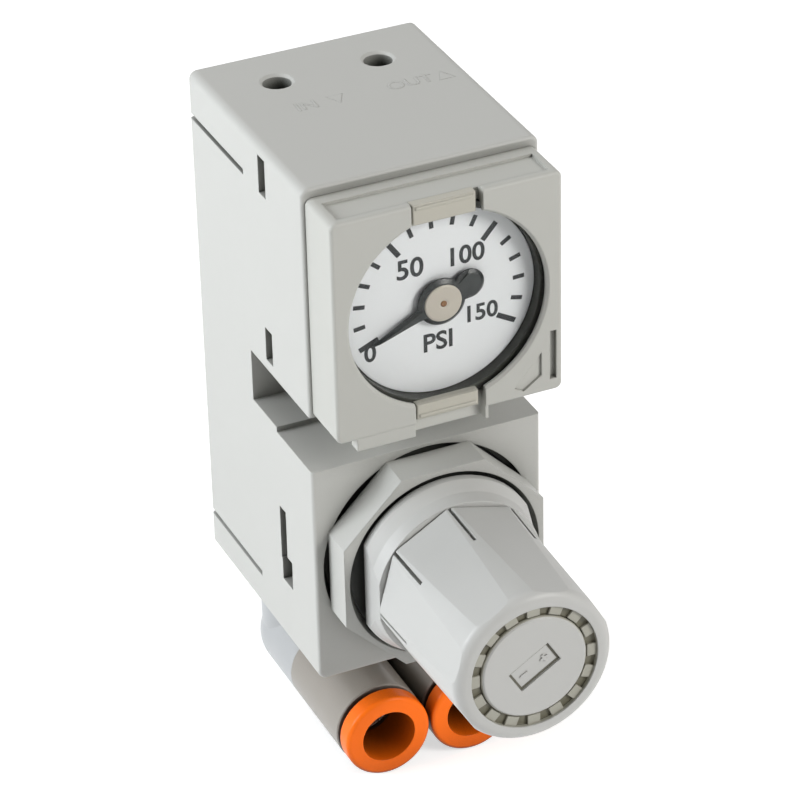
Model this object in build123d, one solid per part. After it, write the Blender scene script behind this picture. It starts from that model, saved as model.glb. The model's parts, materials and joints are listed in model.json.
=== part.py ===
# Manifold pressure regulator with a built-in gauge and two elbow fittings.
# Millimetres. Origin at the centre of the flat rear face, +X to the right seen
# from the front, +Y towards the rear, +Z up. The knob and the dial face -Y.

import os
from math import acos, cos, degrees, pi, radians, sin

from build123d import *

# Housing
BODY_W = 28.0
BODY_D = 31.6
BODY_SIDE_R = 1.0
BODY_FACE_R = 0.4
COLUMN_D = 15.2
LOWER_H = 27.9
LEDGE_H = 28.5
LEDGE_D = 6.7
CEILING_H = 35.0
ROOF_T = 1.1

# Rear slits, measured from the top and bottom faces
SLIT_T = 0.7
SLIT_INSET_TOP = 5.45
SLIT_INSET_BOTTOM = 4.9
SLIT_D = 15.4

# Top screw holes
SCREW_R = 1.65
SCREW_SPACING = 12.3
SCREW_FROM_REAR = 7.0
SCREW_CHAMFER = 0.3

# Regulator axis and its cavities
KNOB_H = 14.5
RECESS_R = 13.0
RECESS_D = 1.6
BONNET_R = 12.2
BONNET_FIT = 0.1
BONNET_L = 13.0
DIAPHRAGM_T = 0.8
CHAMBER_R = 8.8
CHAMBER_SPARE = 0.2
SEAT_WEB = 1.2
SEAT_HOLE_R = 1.9
SEAT_LIP = 0.35
VALVE_BORE_R = 4.0
VALVE_BORE_L = 8.6
CAP_BORE_R = 5.05
CAP_SINK = 0.3

# Bonnet
NECK_R = 11.0
NECK_OUT = 2.8
NECK_WALL = 1.8
WEB_T = 2.6
BONNET_WALL = 2.4
BOSS_R = 4.6
BOSS_OUT = 6.0
KEYWAY_W = 2.4
KEYWAY_D = 0.9
LUG_W = 1.2
LUG_REACH = 1.1
LUG_FROM_FRONT = 9.0

# Panel nut
NUT_SIDES = 8
NUT_AF = 24.6
NUT_T = 4.3
NUT_FIT = 0.05
NUT_MOUTH_R = 11.7
NUT_MOUTH_D = 1.4

# Adjusting screw
SCREW_SHAFT_R = 3.0
SHAFT_FIT = 0.05
COLLAR_R = 4.8
COLLAR_T = 1.4
THREAD_R = 2.5
THREAD_SPARE = 1.5
THREAD_PITCH = 1.0
ADJUST_TURNS = 3
HEX_AF = 4.6
HEX_OUT = 21.0
CLIP_T = 0.7
CLIP_GROOVE_R = 2.4
CLIP_R = 4.4

# Knob
KNOB_OUT = 27.0
KNOB_BACK = 4.2
SEAM_OUT = 8.4
SKIRT_R = 11.2
SKIRT_LIP = 0.9
SKIRT_STEP = 0.35
FLARE_R = 10.4
FLARE_OUT = 6.6
KNOB_R = 10.1
KNOB_FRONT_R = 9.4
KNOB_FLAT = 9.5
KNOB_FRONT_FLAT = 9.15
KNOB_WALL = 1.5
KNOB_FACE_T = 2.6
KNOB_SIDES = 8
KNOB_PHASE = 7.5
KNOB_RIM_R = 1.2
SLIT_W = 0.4
SLIT_CUT = 0.45
SLIT_L = 6.6
HUB_R = 4.3
HUB_GAP = 2.2
PULL = 2.0
CAP_R = 6.3
CAP_T = 1.5
CAP_FIT = 0.05
RING_R = 7.6
RING_D = 0.7
RING_MARKS = 16
RING_MARK_W = 1.5
RING_MARK_SINK = 0.35
CAP_MARK_L = 5.5
CAP_MARK_W = 3.0
CAP_MARK_D = 0.3
CAP_MARK_TURN = 31.5

# Adjusting spring, its seat and the diaphragm
SEAT_R = 8.4
SEAT_T = 2.6
SEAT_FLANGE_T = 1.2
SEAT_GAP = 0.9
SPRING_R = 6.3
WIRE_R = 0.5
SPRING_TURNS = 3.5
PLATE_R = 7.6
PLATE_T = 1.3
PLATE_GAP = 0.1
STUD_R = 1.6
STUD_FIT = 0.1
HEAD_R = 3.0
HEAD_T = 0.7
BEAD_MID_R = 8.8
BEAD_R = 0.9
VALVE_TRAVEL = 1.0

# Valve
POPPET_R = 3.0
POPPET_T = 1.35
STEM_R = 0.9
STEM_GAP = 0.05
GUIDE_STEM_R = 1.4
GUIDE_STEM_L = 3.2
GUIDE_FIT = 0.06
GUIDE_R = 2.0
GUIDE_L = 4.6
VALVE_SPRING_R = 2.7
VALVE_WIRE_R = 0.28
VALVE_SPRING_TURNS = 4
CAP_RING_WIRE = 0.5
DRIVER_SLOT_W = 1.2
DRIVER_SLOT_D = 1.0

# Air passages
PASSAGE_R = 1.2
GAUGE_PASSAGE_R = 1.0
GAUGE_PASSAGE_FROM_FRONT = 18.6

# Gauge
COVER_INSET = 0.45
COVER_T = 6.6
COVER_H = 27.1
COVER_GAP = 0.05
COVER_EDGE_R = 0.8
COVER_FRAME = 1.85
COVER_LIP = 0.6
GAUGE_DROP = 0.05
CASE_LEDGE = 0.6
CASE_FIT = 0.2
CASE_RIM_L = 4.2
CASE_STEP = 1.5
CASE_WALL = 0.8
CASE_BACK = 13.0
LENS_T = 0.7
LENS_GAP = 0.1
DIAL_OUT = 3.9
DIAL_T = 0.4
DIAL_FIT = 0.1
SCOOP_D = 0.35
SCOOP_RIM = 1.2
SCOOP_FRONT = 0.9
SCOOP_REAR = 1.7
TAB_W = 8.2
TAB_FIT = 0.1
CHIN_W = 15.7
CHIN_LEFT = 11.1
CHIN_H = 1.5
CHIN_T = 1.6
GROOVE_X = 12.4
GROOVE_W = 0.8
GROOVE_D = 0.6
GROOVE_LOW = 1.5
GROOVE_HIGH = 7.6
MARK_D = 0.3
MARK_X = 11.0
MARK_W = 3.3
MARK_TOP = 5.2
MARK_LEFT = 1.4
MARK_FOOT = 0.8
MARK_RIGHT = 2.3
GAUGE_CAVITY_D = 14.5
CAVITY_FIT = 0.1
CAVITY_SILL = 1.1
CAVITY_CORNER_R = 0.4
ARM_T = 1.1
ARM_FIT = 0.1
ARM_HOOK = 1.0
ARM_HOOK_L = 0.7
ARM_TOP_INSET = 0.5
ARM_TOP_H = 4.0
ARM_BOTTOM_INSET = 1.5
ARM_BOTTOM_H = 3.7
WINDOW_FRONT = 9.9
WINDOW_L = 1.9
WINDOW_MARGIN = 0.25

# Gauge movement
SOCKET_STEM_R = 2.5
SOCKET_STEM_L = 5.0
SOCKET_FIT = 0.1
SOCKET_RING_WIRE = 0.5
BLOCK_W = 4.6
BLOCK_T = 3.4
TUBE_CLEAR = 1.5
TUBE_IN_OUT = 1.2
TUBE_AXIAL = 2.6
TUBE_SWEEP = 265.0
TUBE_MID = 10.3
TUBE_ROOT_IN = 0.6
FRAME_T = 0.6
FRAME_FRONT = 1.4
FRAME_GAP = 3.6
FRAME_HALF_W = 2.6
FRAME_LOW = 6.2
FRAME_HIGH = 2.4
FRAME_EAR_R = 1.6
FRAME_POST_R = 0.55
FRAME_POST_INSET = 0.6
PINION_TEETH = 12
SECTOR_TEETH = 48
SECTOR_CUT_TEETH = 12
MODULE = 0.25
GEAR_T = 0.8
TOOTH_SHARE = 0.38
ARBOR_R = 0.5
ARBOR_FIT = 0.05
SECTOR_PIVOT_ANGLE = -38.0
NEEDLE_ZERO = 203.0
NEEDLE_OUT = 4.75
NEEDLE_T = 0.3
NEEDLE_SHORT = 2.5
NEEDLE_TAIL = 3.6
NEEDLE_TAIL_R = 1.7
NEEDLE_BOSS_R = 2.8
NEEDLE_W = 0.9
HUB_CAP_R = 2.2
HUB_CAP_T = 0.4

# Fittings
FITTING_PITCH = 10.8
FITTING_FROM_FRONT = 25.2
BARREL_DROP = 11.0
BARREL_R = 5.3
NECK_POST_R = 5.0
PORT_R = 4.3
PORT_L = 9.6
SPIGOT_R = 4.2
SPIGOT_L = 8.4
FLOW_R = 2.4
CLIP_PLATE_T = 0.6
SPIGOT_NECK_R = 3.5
CLIP_FORK_FIT = 0.1
ORING_WIRE = 0.65
ORING_H = 6.9
ELBOW_FRONT = 16.9
SLEEVE_FRONT = 3.4
SLEEVE_TAIL_L = 2.4
SLEEVE_TAIL_R = 4.3
TAIL_FIT = 0.05
SOCKET_R = 4.2
COLLET_L = 3.4
COLLET_SLIT_W = 0.4
TUBE_R = 3.3
SEAL_L = 1.8
BUTTON_OUT = 0.5
BUTTON_R = 5.25
BUTTON_T = 2.1
BUTTON_EDGE_R = 0.5
BUTTON_TAIL_R = 3.85
BUTTON_TAIL_L = 4.2
BUTTON_TRAVEL = 0.7

# Sizes and places that follow from the sizes above
BODY_H = CEILING_H + COVER_H + ROOF_T
FRONT = -BODY_D
TOP = BODY_H / 2
BOTTOM = -BODY_H / 2
KNOB_Z = BOTTOM + KNOB_H
COVER_LOW = BOTTOM + CEILING_H
COVER_HIGH = COVER_LOW + COVER_H
COVER_W = BODY_W - 2 * COVER_INSET
GAUGE_Z = (COVER_LOW + COVER_HIGH) / 2 - GAUGE_DROP
WINDOW_R = min(COVER_W, COVER_H) / 2 - COVER_FRAME
CASE_R = WINDOW_R + CASE_LEDGE
CASE_BODY_R = CASE_R - CASE_STEP
DIAL_R = CASE_R - CASE_WALL - DIAL_FIT
NEEDLE_L = DIAL_R - NEEDLE_SHORT
GAUGE_CAVITY_W = 2 * (CASE_R + CAVITY_FIT)
ARM_TOP_HIGH = COVER_HIGH - ARM_TOP_INSET
ARM_TOP_LOW = ARM_TOP_HIGH - ARM_TOP_H
ARM_BOTTOM_LOW = COVER_LOW + ARM_BOTTOM_INSET
ARM_BOTTOM_HIGH = ARM_BOTTOM_LOW + ARM_BOTTOM_H
BONNET_BACK = RECESS_D + BONNET_L
DIAPHRAGM_BACK = BONNET_BACK + DIAPHRAGM_T
CHAMBER_BACK = DIAPHRAGM_BACK + PLATE_GAP + HEAD_T + VALVE_TRAVEL + CHAMBER_SPARE
VALVE_FRONT = CHAMBER_BACK + SEAT_WEB
CAP_FRONT = VALVE_FRONT + VALVE_BORE_L
BONNET_BORE_R = BONNET_R - BONNET_WALL
WEB_BACK = RECESS_D
WEB_FRONT = WEB_BACK - WEB_T
FITTING_Y = FRONT + FITTING_FROM_FRONT
BARREL_Z = BOTTOM - BARREL_DROP
LENS_BACK = COVER_T - COVER_LIP - LENS_T
CASE_FRONT = LENS_BACK - LENS_GAP
HOOK_FRONT = WINDOW_FRONT + ARM_FIT
ARM_END = HOOK_FRONT + ARM_HOOK_L
TUBE_RING_R = CASE_BODY_R - CASE_WALL - TUBE_IN_OUT / 2 - TUBE_CLEAR
PINION_R = MODULE * PINION_TEETH / 2
SECTOR_R = MODULE * SECTOR_TEETH / 2
GEAR_CENTRES = PINION_R + SECTOR_R
GEAR_FRONT = FRAME_FRONT + FRAME_T + (FRAME_GAP - GEAR_T) / 2
SEAT_FRONT = WEB_BACK + COLLAR_T + SEAT_GAP
THREAD_BACK = SEAT_FRONT + SEAT_T + ADJUST_TURNS * THREAD_PITCH + THREAD_SPARE
PLATE_BACK = BONNET_BACK - PLATE_GAP
HEAD_FRONT = DIAPHRAGM_BACK + PLATE_GAP
HEAD_BACK = HEAD_FRONT + HEAD_T
LOWER_SLIT_Z = BOTTOM + SLIT_INSET_BOTTOM
UPPER_SLIT_Z = TOP - SLIT_INSET_TOP


def block(x0, x1, y0, y1, z0, z1):
    """Box between two corners, with y counted back from the front face."""
    centre = Pos((x0 + x1) / 2, FRONT + (y0 + y1) / 2, (z0 + z1) / 2)
    return centre * Box(x1 - x0, y1 - y0, z1 - z0)


def rod(radius, y0, y1, x=0.0, z=0.0):
    """Cylinder along Y, with y counted back from the front face."""
    return Pos(x, FRONT + (y0 + y1) / 2, z) * Rot(90, 0, 0) * Cylinder(radius, y1 - y0)


def post(radius, z0, z1, x, y):
    """Cylinder along Z at row coordinates x and y."""
    return Pos(x, y, (z0 + z1) / 2) * Cylinder(radius, z1 - z0)


def turned(profile, z=0.0, x=0.0):
    """Solid of revolution about a Y axis from (radius, distance behind the front) points."""
    outline = [(r, FRONT + y) for r, y in profile]
    face = make_face(Polyline(*outline, close=True))
    return Pos(x, 0, z) * revolve(face, Axis.Y, 360)


def torus_y(major, minor, y, z=0.0, x=0.0):
    """Ring with its axis along Y."""
    return Pos(x, FRONT + y, z) * Rot(90, 0, 0) * Torus(major, minor)


def prism(points, y0, y1, z=0.0):
    """Outline in (x, z) about the height z, extruded from y0 to y1 behind the front face."""
    plane = Plane(origin=(0, FRONT + y0, z), x_dir=(1, 0, 0), z_dir=(0, 1, 0))
    outline = [(x, -up) for x, up in points]
    face = plane * make_face(Polyline(*outline, close=True))
    return extrude(face, y1 - y0)


def ring_points(apothem, sides, phase):
    """Corners of a regular outline from its distance across, in (x, z)."""
    radius = apothem / cos(pi / sides)
    turns = [radians(phase) + 2 * pi * (i + 0.5) / sides for i in range(sides)]
    return [(radius * cos(a), radius * sin(a)) for a in turns]


def coil(radius, wire_r, y0, y1, turns, z):
    """Open compression spring along Y, its wire within y0 and y1."""
    length = y1 - y0 - 2 * wire_r
    path = Helix(pitch=length / turns, height=length, radius=radius)
    start = path @ 0
    section = Plane(origin=start, z_dir=path % 0) * Circle(wire_r)
    wire = sweep(section, path=path)
    return Pos(0, FRONT + y0 + wire_r, z) * Rot(-90, 0, 0) * wire


def bonnet_cavity():
    """Room in the lower block for bonnet, diaphragm, valve and valve cap."""
    bore = BONNET_R + BONNET_FIT
    room = rod(RECESS_R, -1, RECESS_D, z=KNOB_Z)
    room += rod(bore, RECESS_D - 0.5, DIAPHRAGM_BACK, z=KNOB_Z)
    room += rod(CHAMBER_R, DIAPHRAGM_BACK - 0.5, CHAMBER_BACK, z=KNOB_Z)
    room += rod(SEAT_HOLE_R, CHAMBER_BACK - 0.5, VALVE_FRONT + 0.5, z=KNOB_Z)
    room += rod(VALVE_BORE_R, VALVE_FRONT, CAP_FRONT + 0.5, z=KNOB_Z)
    room += rod(CAP_BORE_R, CAP_FRONT, BODY_D + 1, z=KNOB_Z)
    return room


def seat_lip():
    """Raised ring that the valve closes on."""
    ring = rod(SEAT_HOLE_R + SEAT_LIP, VALVE_FRONT - 0.3, VALVE_FRONT + SEAT_LIP, z=KNOB_Z)
    return ring - rod(SEAT_HOLE_R, VALVE_FRONT - 1, VALVE_FRONT + 1, z=KNOB_Z)


def gauge_cavity():
    """Room in the upper block for the gauge case and the cover's arms."""
    half = GAUGE_CAVITY_W / 2
    low = COVER_LOW + CAVITY_SILL
    high = COVER_HIGH - CAVITY_FIT
    room = block(-half, half, -1, GAUGE_CAVITY_D, low, high)
    room = fillet(room.edges().filter_by(Axis.Y), CAVITY_CORNER_R)
    stem = SOCKET_STEM_R + SOCKET_FIT
    room += rod(stem, GAUGE_CAVITY_D - 0.5, GAUGE_CAVITY_D + SOCKET_STEM_L, z=GAUGE_Z)
    return room


def air_passages():
    """Drillings that join the ports, the chambers and the gauge."""
    port_x = FITTING_PITCH / 2
    inlet_top = KNOB_Z
    inlet_x = VALVE_BORE_R + PASSAGE_R / 2
    holes = post(PASSAGE_R, BOTTOM + PORT_L - 0.5, inlet_top, -inlet_x, FITTING_Y)
    outlet_z = BOTTOM + PORT_L - PASSAGE_R
    holes += rod(PASSAGE_R, CHAMBER_BACK - 0.5, FITTING_FROM_FRONT - PORT_R + 1, port_x, outlet_z)
    gauge_y = FRONT + GAUGE_PASSAGE_FROM_FRONT
    link_z = KNOB_Z + CHAMBER_R - 1.5 * GAUGE_PASSAGE_R
    holes += rod(GAUGE_PASSAGE_R, CHAMBER_BACK - 0.5, GAUGE_PASSAGE_FROM_FRONT, z=link_z)
    holes += post(GAUGE_PASSAGE_R, link_z, GAUGE_Z, 0, gauge_y)
    return holes


def arm_windows(side):
    """Openings in one side wall that show the cover's hooks and the bonnet's lug."""
    x0, x1 = sorted((side * (GAUGE_CAVITY_W / 2 - 0.5), side * (BODY_W / 2 + 1)))
    y0 = WINDOW_FRONT
    y1 = y0 + WINDOW_L
    cuts = []
    for low, high in ((ARM_TOP_LOW, ARM_TOP_HIGH + 0.4), (ARM_BOTTOM_LOW, ARM_BOTTOM_HIGH + 0.2)):
        cuts.append(block(x0, x1, y0, y1, low - WINDOW_MARGIN, high))
    inner = BONNET_R * 0.8
    x2, x3 = sorted((side * inner, side * (BODY_W / 2 + 1)))
    mid = LUG_FROM_FRONT
    half = LUG_W / 2 + WINDOW_MARGIN
    cuts.append(block(x2, x3, mid - half, mid + half, KNOB_Z - 3.5, KNOB_Z + 3.5))
    cuts.append(block(x2, x3, mid - half - 1.3, mid + half - 0.2, KNOB_Z - 6.3, KNOB_Z - 2.6))
    return cuts


def make_body():
    half = BODY_W / 2
    shell = block(-half, half, 0, BODY_D, BOTTOM, TOP)
    shell = fillet(shell.edges().filter_by(Axis.Y), BODY_SIDE_R)
    ends = shell.faces().filter_by(Axis.Y)
    shell = fillet(ends.edges(), BODY_FACE_R)
    gap_back = BODY_D - COLUMN_D
    wide = half + 1
    shell -= block(-wide, wide, -1, gap_back, BOTTOM + LEDGE_H, BOTTOM + CEILING_H)
    shell -= block(-wide, wide, -1, gap_back - LEDGE_D, BOTTOM + LOWER_H, BOTTOM + CEILING_H - 1)
    slit_front = BODY_D - SLIT_D
    for z in (LOWER_SLIT_Z, UPPER_SLIT_Z):
        shell -= block(-wide, wide, slit_front, BODY_D + 1, z - SLIT_T / 2, z + SLIT_T / 2)
    for x in (-SCREW_SPACING / 2, SCREW_SPACING / 2):
        shell -= post(SCREW_R, UPPER_SLIT_Z, TOP + 1, x, -SCREW_FROM_REAR)
        cone = Cone(SCREW_R, SCREW_R + SCREW_CHAMFER, SCREW_CHAMFER)
        shell -= Pos(x, -SCREW_FROM_REAR, TOP - SCREW_CHAMFER / 2) * cone
    shell -= bonnet_cavity()
    shell -= gauge_cavity()
    shell -= air_passages()
    for side in (-1, 1):
        shell -= post(PORT_R, BOTTOM - 1, BOTTOM + PORT_L, side * FITTING_PITCH / 2, FITTING_Y)
        for window in arm_windows(side):
            shell -= window
    shell += seat_lip()
    return shell


def make_bonnet():
    neck_in = NECK_R - NECK_WALL
    bearing = SCREW_SHAFT_R + SHAFT_FIT
    profile = [
        (bearing, -BOSS_OUT), (BOSS_R, -BOSS_OUT), (BOSS_R, WEB_FRONT), (neck_in, WEB_FRONT),
        (neck_in, -NECK_OUT), (NECK_R, -NECK_OUT), (NECK_R, WEB_BACK), (BONNET_R, WEB_BACK),
        (BONNET_R, BONNET_BACK), (BONNET_BORE_R, BONNET_BACK), (BONNET_BORE_R, WEB_BACK),
        (bearing, WEB_BACK),
    ]
    cup = turned(profile, KNOB_Z)
    cup += rod(BONNET_R, WEB_BACK - 0.2, WEB_BACK + 1, z=KNOB_Z) - rod(
        BONNET_BORE_R, -5, BONNET_BACK, z=KNOB_Z
    )
    for turn in (0, 180):
        key = Box(KEYWAY_W, BONNET_L + 1, KEYWAY_D * 2)
        place = Rot(0, turn, 0) * Pos(0, 0, BONNET_BORE_R)
        cup -= Pos(0, FRONT + WEB_BACK + (BONNET_L + 1) / 2, KNOB_Z) * place * key
    for side in (-1, 1):
        x0, x1 = sorted((side * (BONNET_R - 0.6), side * (BONNET_R + LUG_REACH)))
        half = LUG_W / 2
        y = LUG_FROM_FRONT
        cup += block(x0, x1, y - half, y + half, KNOB_Z - 3.2, KNOB_Z + 3.2)
    return cup


def make_panel_nut():
    corners = ring_points(NUT_AF / 2, NUT_SIDES, 0)
    nut = prism(corners, -NUT_T, 0, KNOB_Z)
    nut -= rod(NECK_R + NUT_FIT, -NUT_T - 1, 1, z=KNOB_Z)
    mouth = turned(
        [(0, -NUT_T - 0.1), (NUT_MOUTH_R, -NUT_T - 0.1), (NUT_MOUTH_R, -NUT_T),
         (NECK_R + NUT_FIT, NUT_MOUTH_D - NUT_T), (0, NUT_MOUTH_D - NUT_T)], KNOB_Z)
    return nut - mouth


def make_adjusting_screw():
    front = -BOSS_OUT - CLIP_T - 0.8
    groove = -BOSS_OUT - CLIP_T - 0.1
    profile = [
        (0, front), (SCREW_SHAFT_R, front), (SCREW_SHAFT_R, groove), (CLIP_GROOVE_R, groove),
        (CLIP_GROOVE_R, -BOSS_OUT), (SCREW_SHAFT_R, -BOSS_OUT),
        (SCREW_SHAFT_R, WEB_BACK + SHAFT_FIT), (COLLAR_R, WEB_BACK + SHAFT_FIT),
        (COLLAR_R, WEB_BACK + COLLAR_T), (THREAD_R, WEB_BACK + COLLAR_T),
        (THREAD_R, THREAD_BACK), (0, THREAD_BACK),
    ]
    shaft = turned(profile, KNOB_Z)
    drive = prism(ring_points(HEX_AF / 2, 6, 0), -HEX_OUT, front + 0.2, KNOB_Z)
    return shaft + drive


def make_retaining_ring():
    y0 = -BOSS_OUT - CLIP_T - 0.05
    ring = rod(CLIP_R, y0, y0 + CLIP_T, z=KNOB_Z)
    ring -= rod(CLIP_GROOVE_R + 0.02, y0 - 1, y0 + 2, z=KNOB_Z)
    mouth = CLIP_GROOVE_R * 0.85
    return ring - block(-mouth, mouth, y0 - 1, y0 + 2, KNOB_Z - CLIP_R - 1, KNOB_Z)


def flats_cutter(apothem_back, apothem_front, y_back, y_front):
    """Tapered eight-sided prism that gives the knob its flats."""
    sketches = []
    for apothem, y in ((apothem_back, y_back), (apothem_front, y_front)):
        plane = Plane(origin=(0, FRONT + y, KNOB_Z), x_dir=(1, 0, 0), z_dir=(0, 1, 0))
        outline = [(x, -up) for x, up in ring_points(apothem, KNOB_SIDES, KNOB_PHASE - 180 / KNOB_SIDES)]
        sketches.append(plane * make_face(Polyline(*outline, close=True)))
    return loft(sketches)


def make_knob():
    face_back = -KNOB_OUT + KNOB_FACE_T
    turned_body = turned(
        [(0, -KNOB_BACK), (SKIRT_R, -KNOB_BACK), (SKIRT_R, -KNOB_BACK - SKIRT_LIP),
         (FLARE_R, -FLARE_OUT), (KNOB_R, -SEAM_OUT), (KNOB_FRONT_R, -KNOB_OUT), (0, -KNOB_OUT)], KNOB_Z)
    rim = turned_body.edges().filter_by(GeomType.CIRCLE).sort_by(Axis.Y)[0]
    turned_body = fillet(rim, KNOB_RIM_R)
    skirt = rod(SKIRT_R + 1, -SEAM_OUT, -KNOB_BACK + 0.1, z=KNOB_Z)
    grip = flats_cutter(KNOB_FLAT, KNOB_FRONT_FLAT, -SEAM_OUT, -KNOB_OUT - 0.1)
    knob = turned_body & (skirt + grip)
    skirt_flat = KNOB_FLAT + SKIRT_STEP
    for side in (-1, 1):
        x0, x1 = sorted((side * skirt_flat, side * (SKIRT_R + 1)))
        knob -= block(x0, x1, -SEAM_OUT, 1 - KNOB_BACK, KNOB_Z - SKIRT_R, KNOB_Z + SKIRT_R)
    seam = rod(KNOB_R + 1, -SEAM_OUT - 0.12, -SEAM_OUT + 0.12, z=KNOB_Z)
    seam -= rod(KNOB_FLAT - 0.35, -SEAM_OUT - 1, -SEAM_OUT + 1, z=KNOB_Z)
    knob -= seam
    hollow = turned(
        [(0, -KNOB_BACK + 1), (KNOB_FLAT - KNOB_WALL + 0.6, -KNOB_BACK + 1),
         (KNOB_FLAT - KNOB_WALL, -SEAM_OUT), (KNOB_FRONT_FLAT - KNOB_WALL, face_back),
         (0, face_back)], KNOB_Z)
    hub = rod(HUB_R, -KNOB_OUT, -BOSS_OUT - HUB_GAP, z=KNOB_Z)
    knob = knob - hollow + hub
    hex_hole = prism(ring_points(HEX_AF / 2 + SHAFT_FIT, 6, 0), -HEX_OUT - PULL, 0, KNOB_Z)
    knob -= hex_hole
    corner = KNOB_R - SLIT_CUT
    for i in range(KNOB_SIDES):
        turn = KNOB_PHASE + 360 / KNOB_SIDES * i
        cut = Box(2 * SLIT_CUT + 1, SLIT_L, SLIT_W)
        place = Rot(0, -turn, 0) * Pos(corner + SLIT_CUT, 0, 0)
        knob -= Pos(0, FRONT - SEAM_OUT - SLIT_L / 2, KNOB_Z) * place * cut
    knob -= rod(CAP_R + CAP_FIT, -KNOB_OUT - 1, -KNOB_OUT + CAP_T, z=KNOB_Z)
    ring = rod(RING_R, -KNOB_OUT - 1, -KNOB_OUT + RING_D, z=KNOB_Z)
    knob -= ring - rod(CAP_R, -KNOB_OUT - 2, 0, z=KNOB_Z)
    for i in range(RING_MARKS):
        mark = Box(RING_R - CAP_R - 0.2, RING_D - RING_MARK_SINK + 0.2, RING_MARK_W)
        place = Rot(0, 360 / RING_MARKS * i, 0) * Pos((RING_R + CAP_R) / 2 + 0.05, 0, 0)
        mark_y = FRONT - KNOB_OUT + (RING_D + RING_MARK_SINK + 0.2) / 2
        knob += Pos(0, mark_y, KNOB_Z) * place * mark
    return knob


def make_knob_cap():
    cap = rod(CAP_R, -KNOB_OUT + 0.1, -KNOB_OUT + CAP_T, z=KNOB_Z)
    front = cap.edges().sort_by(Axis.Y)[0]
    cap = chamfer(front, 0.25)
    mark = Box(CAP_MARK_L, 2 * CAP_MARK_D, CAP_MARK_W)
    return cap - Pos(0, FRONT - KNOB_OUT + 0.1, KNOB_Z) * Rot(0, -CAP_MARK_TURN, 0) * mark


def make_spring_seat():
    y0 = SEAT_FRONT
    seat = rod(SEAT_R, y0, y0 + SEAT_FLANGE_T, z=KNOB_Z)
    seat += rod(SPRING_R - WIRE_R - 0.3, y0, y0 + SEAT_T, z=KNOB_Z)
    half = KEYWAY_W / 2 - 0.15
    reach = BONNET_BORE_R + KEYWAY_D - 0.15
    seat += block(-half, half, y0, y0 + SEAT_FLANGE_T, KNOB_Z - reach, KNOB_Z + reach)
    return seat - rod(THREAD_R + SHAFT_FIT, y0 - 1, y0 + SEAT_T + 1, z=KNOB_Z)


def make_adjusting_spring():
    y0 = SEAT_FRONT + SEAT_FLANGE_T + 0.02
    y1 = PLATE_BACK - PLATE_T - 0.02
    return coil(SPRING_R, WIRE_R, y0, y1, SPRING_TURNS, KNOB_Z)


def make_diaphragm():
    y0 = BONNET_BACK
    y1 = DIAPHRAGM_BACK
    disc = rod(BONNET_R, y0, y1, z=KNOB_Z)
    bead = torus_y(BEAD_MID_R, BEAD_R, y0, KNOB_Z)
    bead &= rod(BONNET_R, y0 - BEAD_R - 1, y0 + 0.2, z=KNOB_Z)
    hollow = torus_y(BEAD_MID_R, BEAD_R * 0.5, y1, KNOB_Z)
    disc = disc + bead - hollow
    return disc - rod(STUD_R + STUD_FIT, y0 - 1, y1 + 1, z=KNOB_Z)


def make_diaphragm_plate():
    plate = rod(PLATE_R, PLATE_BACK - PLATE_T, PLATE_BACK, z=KNOB_Z)
    plate += rod(STUD_R, PLATE_BACK - 0.2, HEAD_FRONT + 0.2, z=KNOB_Z)
    plate += rod(HEAD_R, HEAD_FRONT, HEAD_BACK, z=KNOB_Z)
    rim = plate.faces().sort_by(Axis.Y)[0].edges()
    return chamfer(rim, 0.3)


def make_valve():
    face = VALVE_FRONT + SEAT_LIP + 0.01
    stem = rod(STEM_R, HEAD_BACK + STEM_GAP, face + 0.2, z=KNOB_Z)
    poppet = rod(POPPET_R, face, face + POPPET_T, z=KNOB_Z)
    guide = rod(GUIDE_STEM_R, face + POPPET_T - 0.2, face + POPPET_T + GUIDE_STEM_L, z=KNOB_Z)
    return stem + poppet + guide


def make_valve_cap():
    back = BODY_D - CAP_SINK
    plug = rod(CAP_BORE_R - 0.05, CAP_FRONT, back, z=KNOB_Z)
    groove = rod(CAP_BORE_R + 1, CAP_FRONT + 0.8, CAP_FRONT + 0.8 + 2.2 * CAP_RING_WIRE, z=KNOB_Z)
    groove -= rod(CAP_BORE_R - 2 * CAP_RING_WIRE, 0, BODY_D, z=KNOB_Z)
    plug += rod(GUIDE_R, CAP_FRONT - GUIDE_L, CAP_FRONT + 0.5, z=KNOB_Z)
    plug -= groove
    plug -= rod(GUIDE_STEM_R + GUIDE_FIT, CAP_FRONT - GUIDE_L - 1, CAP_FRONT + 1, z=KNOB_Z)
    half = DRIVER_SLOT_W / 2
    return plug - block(-CAP_BORE_R, CAP_BORE_R, back - DRIVER_SLOT_D, back + 1,
                        KNOB_Z - half, KNOB_Z + half)


def make_valve_cap_ring():
    y = CAP_FRONT + 0.8 + 1.1 * CAP_RING_WIRE
    return torus_y(CAP_BORE_R - CAP_RING_WIRE - 0.01, CAP_RING_WIRE - 0.02, y, KNOB_Z)


def make_valve_spring():
    y0 = VALVE_FRONT + SEAT_LIP + POPPET_T + 0.03
    return coil(VALVE_SPRING_R, VALVE_WIRE_R, y0, CAP_FRONT - 0.02, VALVE_SPRING_TURNS, KNOB_Z)


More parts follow.
